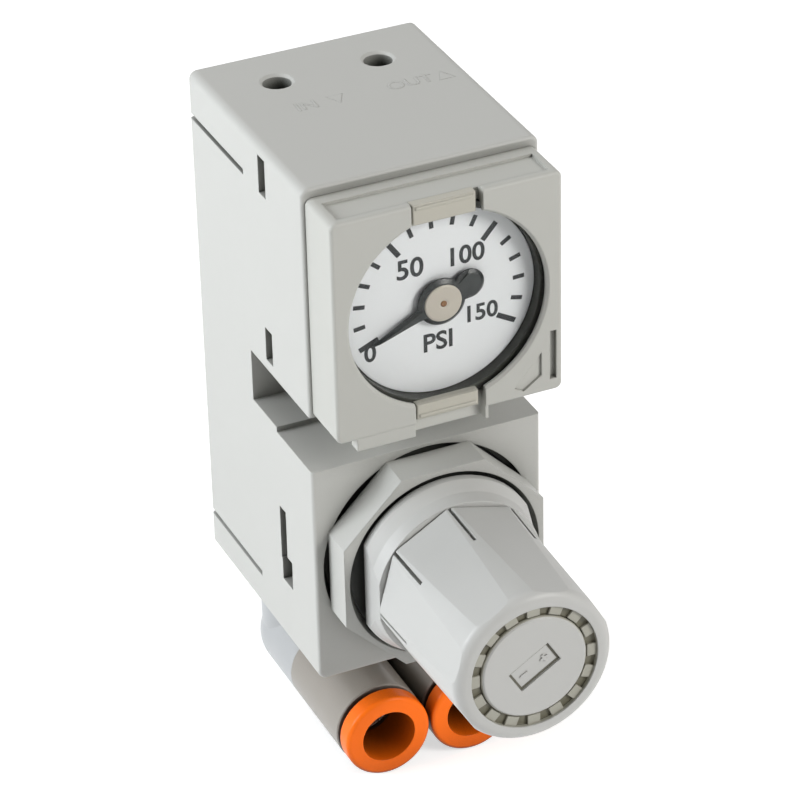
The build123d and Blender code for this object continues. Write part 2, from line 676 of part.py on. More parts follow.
def make_gauge_cover():
    half = COVER_W / 2
    low = COVER_LOW
    high = COVER_HIGH
    cover = block(-half, half, -COVER_T, -COVER_GAP, low, high)
    cover = fillet(cover.edges().filter_by(Axis.Y), COVER_EDGE_R)
    cover = fillet(cover.faces().sort_by(Axis.Y)[0].edges(), COVER_EDGE_R * 0.5)
    chin_right = CHIN_W - CHIN_LEFT
    cover += block(-CHIN_LEFT, chin_right, -COVER_T + 0.2, -COVER_T + 0.2 + CHIN_T,
                   low - CHIN_H, low + 0.5)
    cover -= block(-half + SCOOP_RIM, half - SCOOP_RIM, SCOOP_FRONT - COVER_T, -SCOOP_REAR,
                   high - SCOOP_D, high + 1)
    for side in (-1, 1):
        for arm_low, arm_high in ((ARM_TOP_LOW, ARM_TOP_HIGH), (ARM_BOTTOM_LOW, ARM_BOTTOM_HIGH)):
            outer = GAUGE_CAVITY_W / 2 - ARM_FIT
            x0, x1 = sorted((side * (outer - ARM_T), side * outer))
            cover += block(x0, x1, -COVER_GAP - 0.5, ARM_END, arm_low, arm_high)
            hook = [
                (side * (outer - 0.3), FRONT + HOOK_FRONT),
                (side * (outer + ARM_HOOK), FRONT + HOOK_FRONT),
                (side * (outer + ARM_HOOK), FRONT + HOOK_FRONT + ARM_HOOK_L / 3),
                (side * (outer - 0.3), FRONT + ARM_END),
            ]
            face = Pos(0, 0, arm_low + 0.1) * make_face(Polyline(*hook, close=True))
            cover += extrude(face, arm_high - arm_low - 0.2, dir=(0, 0, 1))
    cover -= rod(CASE_R + CASE_FIT, -COVER_T + COVER_LIP, 1, z=GAUGE_Z)
    window = turned(
        [(0, -COVER_T - 1), (WINDOW_R + 1.3, -COVER_T - 1), (WINDOW_R, -COVER_T + 0.3),
         (WINDOW_R, 0), (0, 0)], GAUGE_Z)
    cover -= window
    tab = TAB_W / 2 + TAB_FIT
    for z0, z1 in ((GAUGE_Z + WINDOW_R * 0.9, high + 1), (low - CHIN_H - 1, GAUGE_Z - WINDOW_R * 0.9)):
        slot_back = -LENS_BACK + TAB_FIT
        cover -= block(-tab, tab, -COVER_T - 1, slot_back, z0, z1)
    z0 = low + GROOVE_LOW
    z1 = low + GROOVE_HIGH
    cover -= block(GROOVE_X - GROOVE_W / 2, GROOVE_X + GROOVE_W / 2,
                   -COVER_T - 1, -COVER_T + GROOVE_D, z0, z1)
    mark_left = MARK_X - MARK_W
    corner = [(MARK_X, MARK_TOP), (mark_left, MARK_LEFT), (mark_left + MARK_W / 3, MARK_FOOT),
              (MARK_X, MARK_RIGHT)]
    cover -= prism(corner, -COVER_T - 1, -COVER_T + MARK_D, low)
    return cover


def make_gauge_lens():
    y0 = -COVER_T + COVER_LIP
    y1 = -LENS_BACK
    disc = rod(CASE_R, y0, y1, z=GAUGE_Z)
    tab = TAB_W / 2
    front = -COVER_T + 0.15
    disc += block(-tab, tab, front, y1, GAUGE_Z + WINDOW_R * 0.93, COVER_HIGH - 0.1)
    disc += block(-tab, tab, front, y1, COVER_LOW + 0.6, GAUGE_Z - WINDOW_R * 0.93)
    return disc


def make_gauge_case():
    rim_back = CASE_RIM_L - CASE_FRONT
    dial_seat = -DIAL_OUT + DIAL_T
    inner = CASE_BODY_R - CASE_WALL
    profile = [
        (DIAL_R + DIAL_FIT, -CASE_FRONT), (CASE_R, -CASE_FRONT), (CASE_R, rim_back),
        (CASE_BODY_R, rim_back), (CASE_BODY_R, CASE_BACK), (SOCKET_STEM_R + 0.05, CASE_BACK),
        (SOCKET_STEM_R + 0.05, CASE_BACK - 1.0), (inner, CASE_BACK - 1.0), (inner, dial_seat),
        (DIAL_R + DIAL_FIT, dial_seat),
    ]
    return turned(profile, GAUGE_Z)


def make_gauge_dial():
    dial = rod(DIAL_R, -DIAL_OUT, -DIAL_OUT + DIAL_T, z=GAUGE_Z)
    return dial - rod(ARBOR_R + 0.4, -DIAL_OUT - 1, 0, z=GAUGE_Z)


def make_gauge_socket():
    stem_end = GAUGE_CAVITY_D + SOCKET_STEM_L - 0.4
    inner_back = CASE_BACK - 1.0
    stem = rod(SOCKET_STEM_R, inner_back - 0.2, stem_end, z=GAUGE_Z)
    groove_mid = GAUGE_CAVITY_D + SOCKET_STEM_L / 2
    groove = rod(SOCKET_STEM_R + 1, groove_mid - 0.6, groove_mid + 0.6, z=GAUGE_Z)
    groove -= rod(SOCKET_STEM_R - 2 * SOCKET_RING_WIRE + 0.1, 0, BODY_D, z=GAUGE_Z)
    half = BLOCK_W / 2
    foot = TUBE_RING_R + TUBE_IN_OUT / 2 + 0.5
    bar = block(-half, half, inner_back - BLOCK_T, inner_back, GAUGE_Z - foot, GAUGE_Z + SOCKET_STEM_R)
    socket = stem - groove + bar - rod(0.8, inner_back - 1, stem_end + 1, z=GAUGE_Z)
    return socket - make_bourdon_tube()


def make_gauge_o_ring():
    groove_mid = GAUGE_CAVITY_D + SOCKET_STEM_L / 2
    major = SOCKET_STEM_R + SOCKET_FIT - SOCKET_RING_WIRE - 0.02
    return torus_y(major, SOCKET_RING_WIRE - 0.02, groove_mid, GAUGE_Z)


def make_bourdon_tube():
    root_x = BLOCK_W / 2 - TUBE_ROOT_IN
    start_angle = -degrees(acos(root_x / TUBE_RING_R))
    plane = Plane(origin=(TUBE_RING_R, 0, 0), x_dir=(1, 0, 0), z_dir=(0, 0, 1))
    section = plane * SlotOverall(TUBE_AXIAL, TUBE_IN_OUT, rotation=90)
    tube = revolve(section, Axis.Y, TUBE_SWEEP)
    return Pos(0, FRONT + TUBE_MID, GAUGE_Z) * Rot(0, -start_angle, 0) * tube


def sector_pivot():
    """Offset of the sector gear's pivot from the gauge axis, in x and z."""
    angle = radians(SECTOR_PIVOT_ANGLE)
    return GEAR_CENTRES * cos(angle), GEAR_CENTRES * sin(angle)


def make_movement_frame():
    px, pz = sector_pivot()
    plates = None
    for y0 in (FRAME_FRONT, FRAME_FRONT + FRAME_T + FRAME_GAP):
        plate = block(-FRAME_HALF_W, FRAME_HALF_W, y0, y0 + FRAME_T,
                      GAUGE_Z - FRAME_LOW, GAUGE_Z + FRAME_HIGH)
        ear = rod(FRAME_EAR_R, y0, y0 + FRAME_T, px, GAUGE_Z + pz)
        reach = FRAME_EAR_R * 0.7
        arm = prism([(FRAME_EAR_R, 0), (px + reach, pz + reach), (px - reach, pz - reach),
                     (0, -FRAME_LOW * 0.7)], y0, y0 + FRAME_T, GAUGE_Z)
        plates = plate + ear + arm if plates is None else plates + plate + ear + arm
    post_back = CASE_BACK - 1.0 - BLOCK_T
    post_x = FRAME_POST_INSET - FRAME_HALF_W
    for z in (FRAME_POST_INSET - FRAME_LOW, FRAME_HIGH - FRAME_POST_INSET):
        plates += rod(FRAME_POST_R, FRAME_FRONT, post_back, post_x, GAUGE_Z + z)
    for x, z in ((0, 0), (px, pz)):
        plates -= rod(ARBOR_R + ARBOR_FIT, 0, CASE_BACK, x, GAUGE_Z + z)
    return plates


def gear_outline(teeth, count, first_angle):
    """Toothed edge as (x, z) points, from first_angle in degrees, count teeth long."""
    pitch_r = MODULE * teeth / 2
    root = pitch_r - 1.2 * MODULE
    tip = pitch_r + 0.95 * MODULE
    step = 2 * pi / teeth
    points = []
    for i in range(count):
        centre = radians(first_angle) + i * step
        for radius, share in ((root, -0.62), (tip, -0.2), (tip, 0.2), (root, 0.62)):
            turn = centre + share * TOOTH_SHARE * step * 1.15
            points.append((radius * cos(turn), radius * sin(turn)))
    return points


def make_pinion_shaft():
    y_front = -NEEDLE_OUT - 0.2
    y_back = FRAME_FRONT + 2 * FRAME_T + FRAME_GAP
    shaft = rod(ARBOR_R, y_front, y_back, z=GAUGE_Z)
    pitch = 360 / PINION_TEETH
    facing = 180 + SECTOR_PIVOT_ANGLE + 180
    gear = prism(gear_outline(PINION_TEETH, PINION_TEETH, facing + pitch / 2),
                 GEAR_FRONT, GEAR_FRONT + GEAR_T, GAUGE_Z)
    return shaft + gear


def make_sector_gear():
    px, pz = sector_pivot()
    step = 360 / SECTOR_TEETH
    towards = SECTOR_PIVOT_ANGLE + 180
    count = SECTOR_CUT_TEETH
    first = towards - (count - 3) * step
    teeth = gear_outline(SECTOR_TEETH, count, first)
    outline = [(0.0, 0.0)] + teeth
    web = prism([(px + x, pz + z) for x, z in outline], GEAR_FRONT, GEAR_FRONT + GEAR_T, GAUGE_Z)
    hub = rod(1.1, GEAR_FRONT - 0.4, GEAR_FRONT + GEAR_T + 0.4, px, GAUGE_Z + pz)
    shaft = rod(ARBOR_R, FRAME_FRONT, FRAME_FRONT + 2 * FRAME_T + FRAME_GAP, px, GAUGE_Z + pz)
    return web + hub + shaft


def make_needle():
    y0 = -NEEDLE_OUT
    y1 = y0 + NEEDLE_T
    blade = [(NEEDLE_L, 0.12), (0, NEEDLE_W), (-NEEDLE_TAIL, NEEDLE_TAIL_R * 0.7),
             (-NEEDLE_TAIL, -NEEDLE_TAIL_R * 0.7), (0, -NEEDLE_W), (NEEDLE_L, -0.12)]
    flat = prism(blade, y0, y1)
    flat += rod(NEEDLE_BOSS_R, y0, y1)
    flat += rod(NEEDLE_TAIL_R, y0, y1, x=-NEEDLE_TAIL)
    flat -= rod(ARBOR_R + 0.005, y0 - 1, y1 + 1)
    return Pos(0, 0, GAUGE_Z) * Rot(0, -NEEDLE_ZERO, 0) * flat


def make_needle_hub():
    y1 = -NEEDLE_OUT - 0.005
    cap = rod(HUB_CAP_R, y1 - HUB_CAP_T, y1, z=GAUGE_Z)
    cap = chamfer(cap.edges().sort_by(Axis.Y)[0], 0.12)
    return cap - rod(ARBOR_R + 0.005, -NEEDLE_OUT - 0.21, 0, z=GAUGE_Z)


def make_elbow(x):
    y_front = ELBOW_FRONT
    y_bend = FITTING_FROM_FRONT
    elbow = rod(BARREL_R, y_front, y_bend, x, BARREL_Z)
    elbow += Pos(x, FITTING_Y, BARREL_Z) * Sphere(BARREL_R)
    elbow += post(NECK_POST_R, BARREL_Z, BOTTOM - 0.05, x, FITTING_Y)
    elbow += post(SPIGOT_R, BOTTOM - 0.5, BOTTOM + SPIGOT_L, x, FITTING_Y)
    groove_half = CLIP_PLATE_T / 2 + 0.1
    groove_top = BOTTOM + ORING_H + ORING_WIRE * 1.15
    groove_low = BOTTOM + ORING_H - ORING_WIRE * 1.15
    for z0, z1, neck in (
        (LOWER_SLIT_Z - groove_half, LOWER_SLIT_Z + groove_half, SPIGOT_NECK_R),
        (groove_low, groove_top, PORT_R - 2 * ORING_WIRE),
    ):
        cut = post(SPIGOT_R + 1, z0, z1, x, FITTING_Y) - post(neck, z0 - 1, z1 + 1, x, FITTING_Y)
        elbow -= cut
    elbow -= post(FLOW_R, BARREL_Z, BOTTOM + SPIGOT_L + 1, x, FITTING_Y)
    elbow -= Pos(x, FITTING_Y, BARREL_Z) * Sphere(FLOW_R)
    elbow -= rod(FLOW_R, y_front - 1, y_bend, x, BARREL_Z)
    tail = SLEEVE_TAIL_R + TAIL_FIT
    elbow -= rod(tail, y_front - 1, y_front + SLEEVE_TAIL_L + 0.1, x, BARREL_Z)
    return elbow


def make_sleeve(x):
    seal_back = SLEEVE_FRONT + BUTTON_TAIL_L + COLLET_L + SEAL_L + 0.3
    tail_end = ELBOW_FRONT + SLEEVE_TAIL_L
    profile = [
        (SOCKET_R, SLEEVE_FRONT), (BARREL_R - 0.15, SLEEVE_FRONT), (BARREL_R, SLEEVE_FRONT + 0.15),
        (BARREL_R, ELBOW_FRONT), (SLEEVE_TAIL_R, ELBOW_FRONT), (SLEEVE_TAIL_R, tail_end),
        (FLOW_R, tail_end), (FLOW_R, ELBOW_FRONT - 0.5), (TUBE_R, ELBOW_FRONT - 0.5),
        (TUBE_R, seal_back), (SOCKET_R, seal_back),
    ]
    return turned(profile, BARREL_Z, x)


def make_collet(x):
    y0 = SLEEVE_FRONT + BUTTON_TAIL_L + 0.1
    y1 = y0 + COLLET_L - 0.2
    inner = TUBE_R + 0.05
    profile = [(inner + 0.25, y0), (SOCKET_R - 0.05, y0 + 0.5), (SOCKET_R - 0.05, y1), (inner, y1),
               (inner, y0 + 0.4)]
    ring = turned(profile, BARREL_Z, x)
    for turn in (0, 90):
        cut = Box(3 * SOCKET_R, COLLET_L, COLLET_SLIT_W)
        place = Pos(x, FRONT + y0 - 0.8 + COLLET_L / 2, BARREL_Z) * Rot(0, turn, 0)
        ring -= place * cut
    return ring


def make_tube_seal(x):
    y0 = SLEEVE_FRONT + BUTTON_TAIL_L + COLLET_L + 0.15
    ring = rod(SOCKET_R - 0.05, y0, y0 + SEAL_L, x, BARREL_Z)
    return ring - rod(TUBE_R, y0 - 1, y0 + SEAL_L + 1, x, BARREL_Z)


def make_release_button(x):
    y0 = BUTTON_OUT
    y1 = y0 + BUTTON_T
    tail_end = SLEEVE_FRONT + BUTTON_TAIL_L - BUTTON_TRAVEL - 0.2
    button = rod(BUTTON_R, y0, y1, x, BARREL_Z)
    button = fillet(button.edges().sort_by(Axis.Y)[0], BUTTON_EDGE_R)
    button += rod(BUTTON_TAIL_R, y1 - 0.5, tail_end, x, BARREL_Z)
    return button - rod(TUBE_R, y0 - 1, tail_end + 1, x, BARREL_Z)


def make_spigot_o_ring(x):
    major = PORT_R - ORING_WIRE - 0.02
    return Pos(x, FITTING_Y, BOTTOM + ORING_H) * Torus(major, ORING_WIRE - 0.02)


def make_fitting_clip():
    half = BODY_W / 2 - 0.4
    slit_front = BODY_D - SLIT_D
    plate = block(-half, half, slit_front + 0.3, BODY_D - 0.3,
                  LOWER_SLIT_Z - CLIP_PLATE_T / 2, LOWER_SLIT_Z + CLIP_PLATE_T / 2)
    fork = SPIGOT_NECK_R + CLIP_FORK_FIT
    for side in (-1, 1):
        x = side * FITTING_PITCH / 2
        plate -= post(fork, LOWER_SLIT_Z - 1, LOWER_SLIT_Z + 1, x, FITTING_Y)
        plate -= block(x - fork, x + fork, slit_front - 1, FITTING_FROM_FRONT,
                       LOWER_SLIT_Z - 1, LOWER_SLIT_Z + 1)
    return plate


def build_parts():
    parts = {
        "body": make_body(),
        "bonnet": make_bonnet(),
        "panel_nut": make_panel_nut(),
        "adjusting_screw": make_adjusting_screw(),
        "retaining_ring": make_retaining_ring(),
        "knob": make_knob(),
        "knob_cap": make_knob_cap(),
        "spring_seat": make_spring_seat(),
        "adjusting_spring": make_adjusting_spring(),
        "diaphragm": make_diaphragm(),
        "diaphragm_plate": make_diaphragm_plate(),
        "valve": make_valve(),
        "valve_spring": make_valve_spring(),
        "valve_cap": make_valve_cap(),
        "valve_cap_ring": make_valve_cap_ring(),
        "gauge_cover": make_gauge_cover(),
        "gauge_lens": make_gauge_lens(),
        "gauge_case": make_gauge_case(),
        "gauge_dial": make_gauge_dial(),
        "gauge_socket": make_gauge_socket(),
        "gauge_o_ring": make_gauge_o_ring(),
        "bourdon_tube": make_bourdon_tube(),
        "movement_frame": make_movement_frame(),
        "pinion_shaft": make_pinion_shaft(),
        "sector_gear": make_sector_gear(),
        "needle": make_needle(),
        "needle_hub": make_needle_hub(),
        "fitting_clip": make_fitting_clip(),
    }
    for name, side in (("in", -1), ("out", 1)):
        x = side * FITTING_PITCH / 2
        parts[f"elbow_{name}"] = make_elbow(x)
        parts[f"sleeve_{name}"] = make_sleeve(x)
        parts[f"collet_{name}"] = make_collet(x)
        parts[f"tube_seal_{name}"] = make_tube_seal(x)
        parts[f"release_button_{name}"] = make_release_button(x)
        parts[f"spigot_o_ring_{name}"] = make_spigot_o_ring(x)
    return parts


def main():
    os.makedirs("parts", exist_ok=True)
    for name, part in build_parts().items():
        export_step(part, f"parts/{name}.step")


main()
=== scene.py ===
# Looks of the manifold pressure regulator: finishes, dial print, small moulded
# detail, floor, light and camera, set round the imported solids. Metres; the knob
# and the dial face -Y, Z is up.

import json
import math

import bmesh
import bpy
from mathutils import Matrix, Vector


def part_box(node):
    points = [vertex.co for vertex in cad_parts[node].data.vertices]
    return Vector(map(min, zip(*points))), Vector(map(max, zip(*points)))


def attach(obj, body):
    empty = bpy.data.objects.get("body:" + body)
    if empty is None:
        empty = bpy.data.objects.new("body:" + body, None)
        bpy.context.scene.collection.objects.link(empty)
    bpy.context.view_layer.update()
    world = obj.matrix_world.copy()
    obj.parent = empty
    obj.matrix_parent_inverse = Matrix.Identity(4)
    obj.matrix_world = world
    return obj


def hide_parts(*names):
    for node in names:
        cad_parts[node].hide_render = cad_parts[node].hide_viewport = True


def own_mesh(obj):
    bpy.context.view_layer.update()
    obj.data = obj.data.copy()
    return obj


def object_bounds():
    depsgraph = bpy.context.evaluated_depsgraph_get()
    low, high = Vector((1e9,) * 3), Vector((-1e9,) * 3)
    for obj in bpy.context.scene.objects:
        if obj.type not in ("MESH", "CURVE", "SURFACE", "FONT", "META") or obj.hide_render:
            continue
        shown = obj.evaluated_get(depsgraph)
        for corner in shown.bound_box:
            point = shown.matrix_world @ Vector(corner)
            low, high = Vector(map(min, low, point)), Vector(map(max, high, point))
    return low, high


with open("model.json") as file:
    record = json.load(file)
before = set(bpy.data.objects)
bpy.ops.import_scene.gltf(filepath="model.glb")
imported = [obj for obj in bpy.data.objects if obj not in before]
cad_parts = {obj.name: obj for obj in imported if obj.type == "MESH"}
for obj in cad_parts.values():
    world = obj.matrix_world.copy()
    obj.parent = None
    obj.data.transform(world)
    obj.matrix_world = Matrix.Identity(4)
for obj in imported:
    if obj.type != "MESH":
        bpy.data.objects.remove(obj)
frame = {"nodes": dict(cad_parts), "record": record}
cad_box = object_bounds()

MM = 0.001
MICRON = 0.000001
nodes = frame["nodes"]


# ---------------------------------------------------------------- places on the solids

def centre_of(node):
    low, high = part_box(node)
    return (low + high) / 2


DIAL_X = centre_of("gauge_dial").x
DIAL_Z = centre_of("gauge_dial").z
DIAL_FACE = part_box("gauge_dial")[0].y
NEEDLE_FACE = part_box("needle")[0].y
NEEDLE_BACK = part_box("needle")[1].y
KNOB_X = centre_of("knob_cap").x
KNOB_Z = centre_of("knob_cap").z
KNOB_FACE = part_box("knob")[0].y
CAP_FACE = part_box("knob_cap")[0].y
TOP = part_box("body")[1].z


# ---------------------------------------------------------------- node tools

def add(tree, kind, **settings):
    node = tree.nodes.new(kind)
    for key, value in settings.items():
        setattr(node, key, value)
    return node


def wire(tree, *pairs):
    for source, target in pairs:
        tree.links.new(source, target)


def feed(tree, target, value):
    """Gives an input its value: a number, a triple, or an output that it is linked to."""
    if isinstance(value, bpy.types.NodeSocket):
        tree.links.new(value, target)
    elif target.type == "RGBA":
        target.default_value = (*value, 1.0)
    else:
        target.default_value = value


def maths(tree, operation, first, second, clamp=False):
    """Math node whose inputs are numbers or outputs; returns its output."""
    node = add(tree, "ShaderNodeMath", operation=operation, use_clamp=clamp)
    feed(tree, node.inputs[0], first)
    feed(tree, node.inputs[1], second)
    return node.outputs[0]


def swing(tree, value, middle, amount):
    """How far a value is from its middle, times an amount."""
    return maths(tree, "MULTIPLY", maths(tree, "SUBTRACT", value, middle), amount)


def within(tree, value, low, high):
    """1 between two limits, else 0."""
    return maths(tree, "MULTIPLY", maths(tree, "GREATER_THAN", value, low),
                 maths(tree, "LESS_THAN", value, high))


def remap(tree, value, low, high, to_low=0.0, to_high=1.0):
    """Clamped linear change of range."""
    node = add(tree, "ShaderNodeMapRange", clamp=True)
    for label, part in (("Value", value), ("From Min", low), ("From Max", high),
                        ("To Min", to_low), ("To Max", to_high)):
        feed(tree, node.inputs[label], part)
    return node.outputs["Result"]


def mix_colour(tree, factor, first, second):
    node = add(tree, "ShaderNodeMix", data_type="RGBA")
    for slot, value in ((0, factor), (6, first), (7, second)):
        feed(tree, node.inputs[slot], value)
    return node.outputs[2]


def noise(tree, place, scale, detail, rough):
    node = add(tree, "ShaderNodeTexNoise", noise_dimensions="3D")
    for label, value in (("Vector", place), ("Scale", scale), ("Detail", detail),
                         ("Roughness", rough)):
        feed(tree, node.inputs[label], value)
    return node.outputs["Fac"]


def object_place(tree):
    return add(tree, "ShaderNodeTexCoord").outputs["Object"]


def radius_about_y(tree, place, centre):
    """Distance from a Y axis through the centre."""
    offset = add(tree, "ShaderNodeVectorMath", operation="SUBTRACT")
    flat = add(tree, "ShaderNodeVectorMath", operation="MULTIPLY")
    length = add(tree, "ShaderNodeVectorMath", operation="LENGTH")
    feed(tree, offset.inputs[0], place)
    feed(tree, offset.inputs[1], centre)
    feed(tree, flat.inputs[1], (1, 0, 1))
    wire(tree, (offset.outputs[0], flat.inputs[0]), (flat.outputs[0], length.inputs[0]))
    return length.outputs["Value"]


def seen_directly(tree):
    """1 for what the camera sees, also in a reflection or through the lens."""
    light = add(tree, "ShaderNodeLightPath")
    other = maths(tree, "MAXIMUM", light.outputs["Is Glossy Ray"],
                  light.outputs["Is Transmission Ray"])
    return maths(tree, "MAXIMUM", light.outputs["Is Camera Ray"], other)


def new_group(name, inputs, outputs):
    """Shader node group with named sockets; returns tree, input node, output node."""
    tree = bpy.data.node_groups.new(name, "ShaderNodeTree")
    kinds = {"f": "NodeSocketFloat", "c": "NodeSocketColor", "v": "NodeSocketVector"}
    for label, kind, value in inputs:
        socket = tree.interface.new_socket(name=label, in_out="INPUT", socket_type=kinds[kind])
        socket.default_value = value
    for label, kind in outputs:
        tree.interface.new_socket(name=label, in_out="OUTPUT", socket_type=kinds[kind])
    return tree, tree.nodes.new("NodeGroupInput"), tree.nodes.new("NodeGroupOutput")


# ---------------------------------------------------------------- node groups

def build_moulded_skin():
    """Spark-eroded mould texture: grain, faint clouding and uneven gloss."""
    tree, inp, out = new_group("Moulded Skin", [
        ("Color", "c", (0.6, 0.6, 0.58, 1)), ("Grain Scale", "f", 5200.0),
        ("Tone Spread", "f", 0.05), ("Roughness", "f", 0.45), ("Gloss Spread", "f", 0.1),
    ], [("Color", "c"), ("Roughness", "f"), ("Height", "f")])
    cloud_scale, flow_scale = 95.0, 420.0
    cloud_share, flow_share, grain_share = 0.55, 0.25, 0.2
    grain_height, pit_height = 0.7, 0.3
    place = object_place(tree)
    grain = noise(tree, place, inp.outputs["Grain Scale"], 3.0, 0.65)
    pits = add(tree, "ShaderNodeTexVoronoi", feature="F1")
    wire(tree, (place, pits.inputs["Vector"]),
         (inp.outputs["Grain Scale"], pits.inputs["Scale"]))
    clouds = noise(tree, place, cloud_scale, 3.0, 0.55)
    flow = noise(tree, place, flow_scale, 2.0, 0.5)
    tone = maths(tree, "ADD", maths(tree, "MULTIPLY", clouds, cloud_share),
                 maths(tree, "MULTIPLY", flow, flow_share))
    tone = maths(tree, "ADD", tone, maths(tree, "MULTIPLY", grain, grain_share))
    shift = swing(tree, tone, 0.5, inp.outputs["Tone Spread"])
    shade = add(tree, "ShaderNodeHueSaturation")
    wire(tree, (maths(tree, "ADD", shift, 1.0), shade.inputs["Value"]),
         (inp.outputs["Color"], shade.inputs["Color"]), (shade.outputs[0], out.inputs["Color"]))
    uneven = swing(tree, flow, 0.5, inp.outputs["Gloss Spread"])
    rough = maths(tree, "ADD", uneven, inp.outputs["Roughness"], clamp=True)
    height = maths(tree, "ADD", maths(tree, "MULTIPLY", grain, grain_height),
                   maths(tree, "MULTIPLY", pits.outputs["Distance"], pit_height))
    wire(tree, (rough, out.inputs["Roughness"]), (height, out.inputs["Height"]))
    return tree


def build_soft_edge():
    """Rounded edge normal and a mask of the outer edges that carries a painted highlight."""
    tree, inp, out = new_group("Soft Edge", [("Radius", "f", 0.0002), ("Strength", "f", 0.4)],
                               [("Mask", "f"), ("Normal", "v")])
    flat_meet, round_meet = 0.995, 0.86
    inner_open, outer_open, open_reach = 0.72, 0.95, 1.2 * MM
    highlight_break_scale, highlight_break_least = 700.0, 0.45
    rounded = add(tree, "ShaderNodeBevel", samples=4)
    flat = add(tree, "ShaderNodeNewGeometry")
    meet = add(tree, "ShaderNodeVectorMath", operation="DOT_PRODUCT")
    wire(tree, (inp.outputs["Radius"], rounded.inputs["Radius"]),
         (rounded.outputs[0], meet.inputs[0]), (flat.outputs["Normal"], meet.inputs[1]),
         (rounded.outputs[0], out.inputs["Normal"]))
    turned = remap(tree, meet.outputs["Value"], flat_meet, round_meet)
    openness = add(tree, "ShaderNodeAmbientOcclusion", samples=4)
    feed(tree, openness.inputs["Distance"], open_reach)
    outer = remap(tree, openness.outputs["AO"], inner_open, outer_open)
    # Noise breaks up the painted highlight along the edges.
    highlight_break = noise(tree, object_place(tree), highlight_break_scale, 3.0, 0.6)
    broken = remap(tree, highlight_break, 0.32, 0.62, highlight_break_least, 1.0)
    mask = maths(tree, "MULTIPLY", maths(tree, "MULTIPLY", turned, outer), broken)
    wire(tree, (maths(tree, "MULTIPLY", mask, inp.outputs["Strength"]), out.inputs["Mask"]))
    return tree


def build_recess_shade():
    """Painted shade: a darker tone mixed into the colour where faces shut out the light, less on
    faces that look up.
    """
    tree, inp, out = new_group("Recess Shade", [
        ("Color", "c", (0.6, 0.6, 0.58, 1)), ("Dust Color", "c", (0.12, 0.12, 0.09, 1)),
        ("Reach", "f", 0.0015), ("Open Limit", "f", 0.62), ("Strength", "f", 0.4),
        ("Top Relief", "f", 0.0),
    ], [("Color", "c"), ("Mask", "f")])
    full_shade_open = 0.1
    openness = add(tree, "ShaderNodeAmbientOcclusion", samples=6)
    wire(tree, (inp.outputs["Reach"], openness.inputs["Distance"]))
    covered = maths(tree, "SUBTRACT", inp.outputs["Open Limit"], openness.outputs["AO"])
    most = maths(tree, "SUBTRACT", inp.outputs["Open Limit"], full_shade_open)
    closed = maths(tree, "DIVIDE", covered, most, clamp=True)
    facing = add(tree, "ShaderNodeSeparateXYZ")
    wire(tree, (add(tree, "ShaderNodeNewGeometry").outputs["Normal"], facing.inputs[0]))
    upward = maths(tree, "MULTIPLY", facing.outputs["Z"], inp.outputs["Top Relief"], clamp=True)
    mask = maths(tree, "MULTIPLY", maths(tree, "MULTIPLY", closed, inp.outputs["Strength"]),
                 maths(tree, "SUBTRACT", 1.0, upward))
    shaded = mix_colour(tree, mask, inp.outputs["Color"], inp.outputs["Dust Color"])
    wire(tree, (shaded, out.inputs["Color"]), (mask, out.inputs["Mask"]))
    return tree


def build_turned_metal():
    """Fine rings left by a lathe about a Y axis."""
    tree, inp, out = new_group("Turned Metal", [
        ("Color", "c", (0.7, 0.5, 0.2, 1)), ("Centre", "v", (0, 0, 0)),
        ("Pitch", "f", 0.00012), ("Roughness", "f", 0.3),
    ], [("Color", "c"), ("Roughness", "f"), ("Height", "f")])
    stain_scale, stain_gloss = 900.0, 0.25
    darkest, lightest = 0.86, 1.08
    place = object_place(tree)
    radius = radius_about_y(tree, place, inp.outputs["Centre"])
    turns = maths(tree, "DIVIDE", radius, inp.outputs["Pitch"])
    ring = maths(tree, "PINGPONG", turns, 1.0)
    stain = noise(tree, place, stain_scale, 3.0, 0.6)
    rough = maths(tree, "ADD", inp.outputs["Roughness"], swing(tree, stain, 0.5, stain_gloss),
                  clamp=True)
    shade = add(tree, "ShaderNodeHueSaturation")
    wire(tree, (remap(tree, stain, 0.3, 0.7, darkest, lightest), shade.inputs["Value"]),
         (inp.outputs["Color"], shade.inputs["Color"]), (shade.outputs[0], out.inputs["Color"]),
         (rough, out.inputs["Roughness"]), (ring, out.inputs["Height"]))
    return tree


def build_handled_gloss():
    """Faint wipe marks that break an even gloss."""
    tree, inp, out = new_group("Handled Gloss", [
        ("Roughness", "f", 0.1), ("Spread", "f", 0.1),
    ], [("Roughness", "f"), ("Height", "f")])
    wipe_scale, wipe_middle, wipe_stretch = 260.0, 0.45, 4.0
    stretch = add(tree, "ShaderNodeMapping")
    feed(tree, stretch.inputs["Scale"], (1.0, 1.0, wipe_stretch))
    feed(tree, stretch.inputs["Vector"], object_place(tree))
    wipes = noise(tree, stretch.outputs[0], wipe_scale, 4.0, 0.6)
    change = swing(tree, wipes, wipe_middle, inp.outputs["Spread"])
    rough = maths(tree, "ADD", inp.outputs["Roughness"], change, clamp=True)
    wire(tree, (rough, out.inputs["Roughness"]), (wipes, out.inputs["Height"]))
    return tree


SKIN = build_moulded_skin()
EDGE = build_soft_edge()
RECESS = build_recess_shade()
TURNED = build_turned_metal()
GLOSS = build_handled_gloss()


# ---------------------------------------------------------------- material tools

def placed(tree, group, **values):
    """Group node in a material, with its own values on the named inputs."""
    node = add(tree, "ShaderNodeGroup", node_tree=group)
    for key, value in values.items():
        feed(tree, node.inputs[key.replace("_", " ")], value)
    return node


def new_material(name, **constants):
    """Material with a Principled shader whose fixed values are set on its sockets."""
    material = bpy.data.materials.new(name)
    material.use_nodes = True
    tree = material.node_tree
    shader = tree.nodes["Principled BSDF"]
    for key, value in constants.items():
        feed(tree, shader.inputs[key.replace("_", " ")], value)
    return material, tree, shader


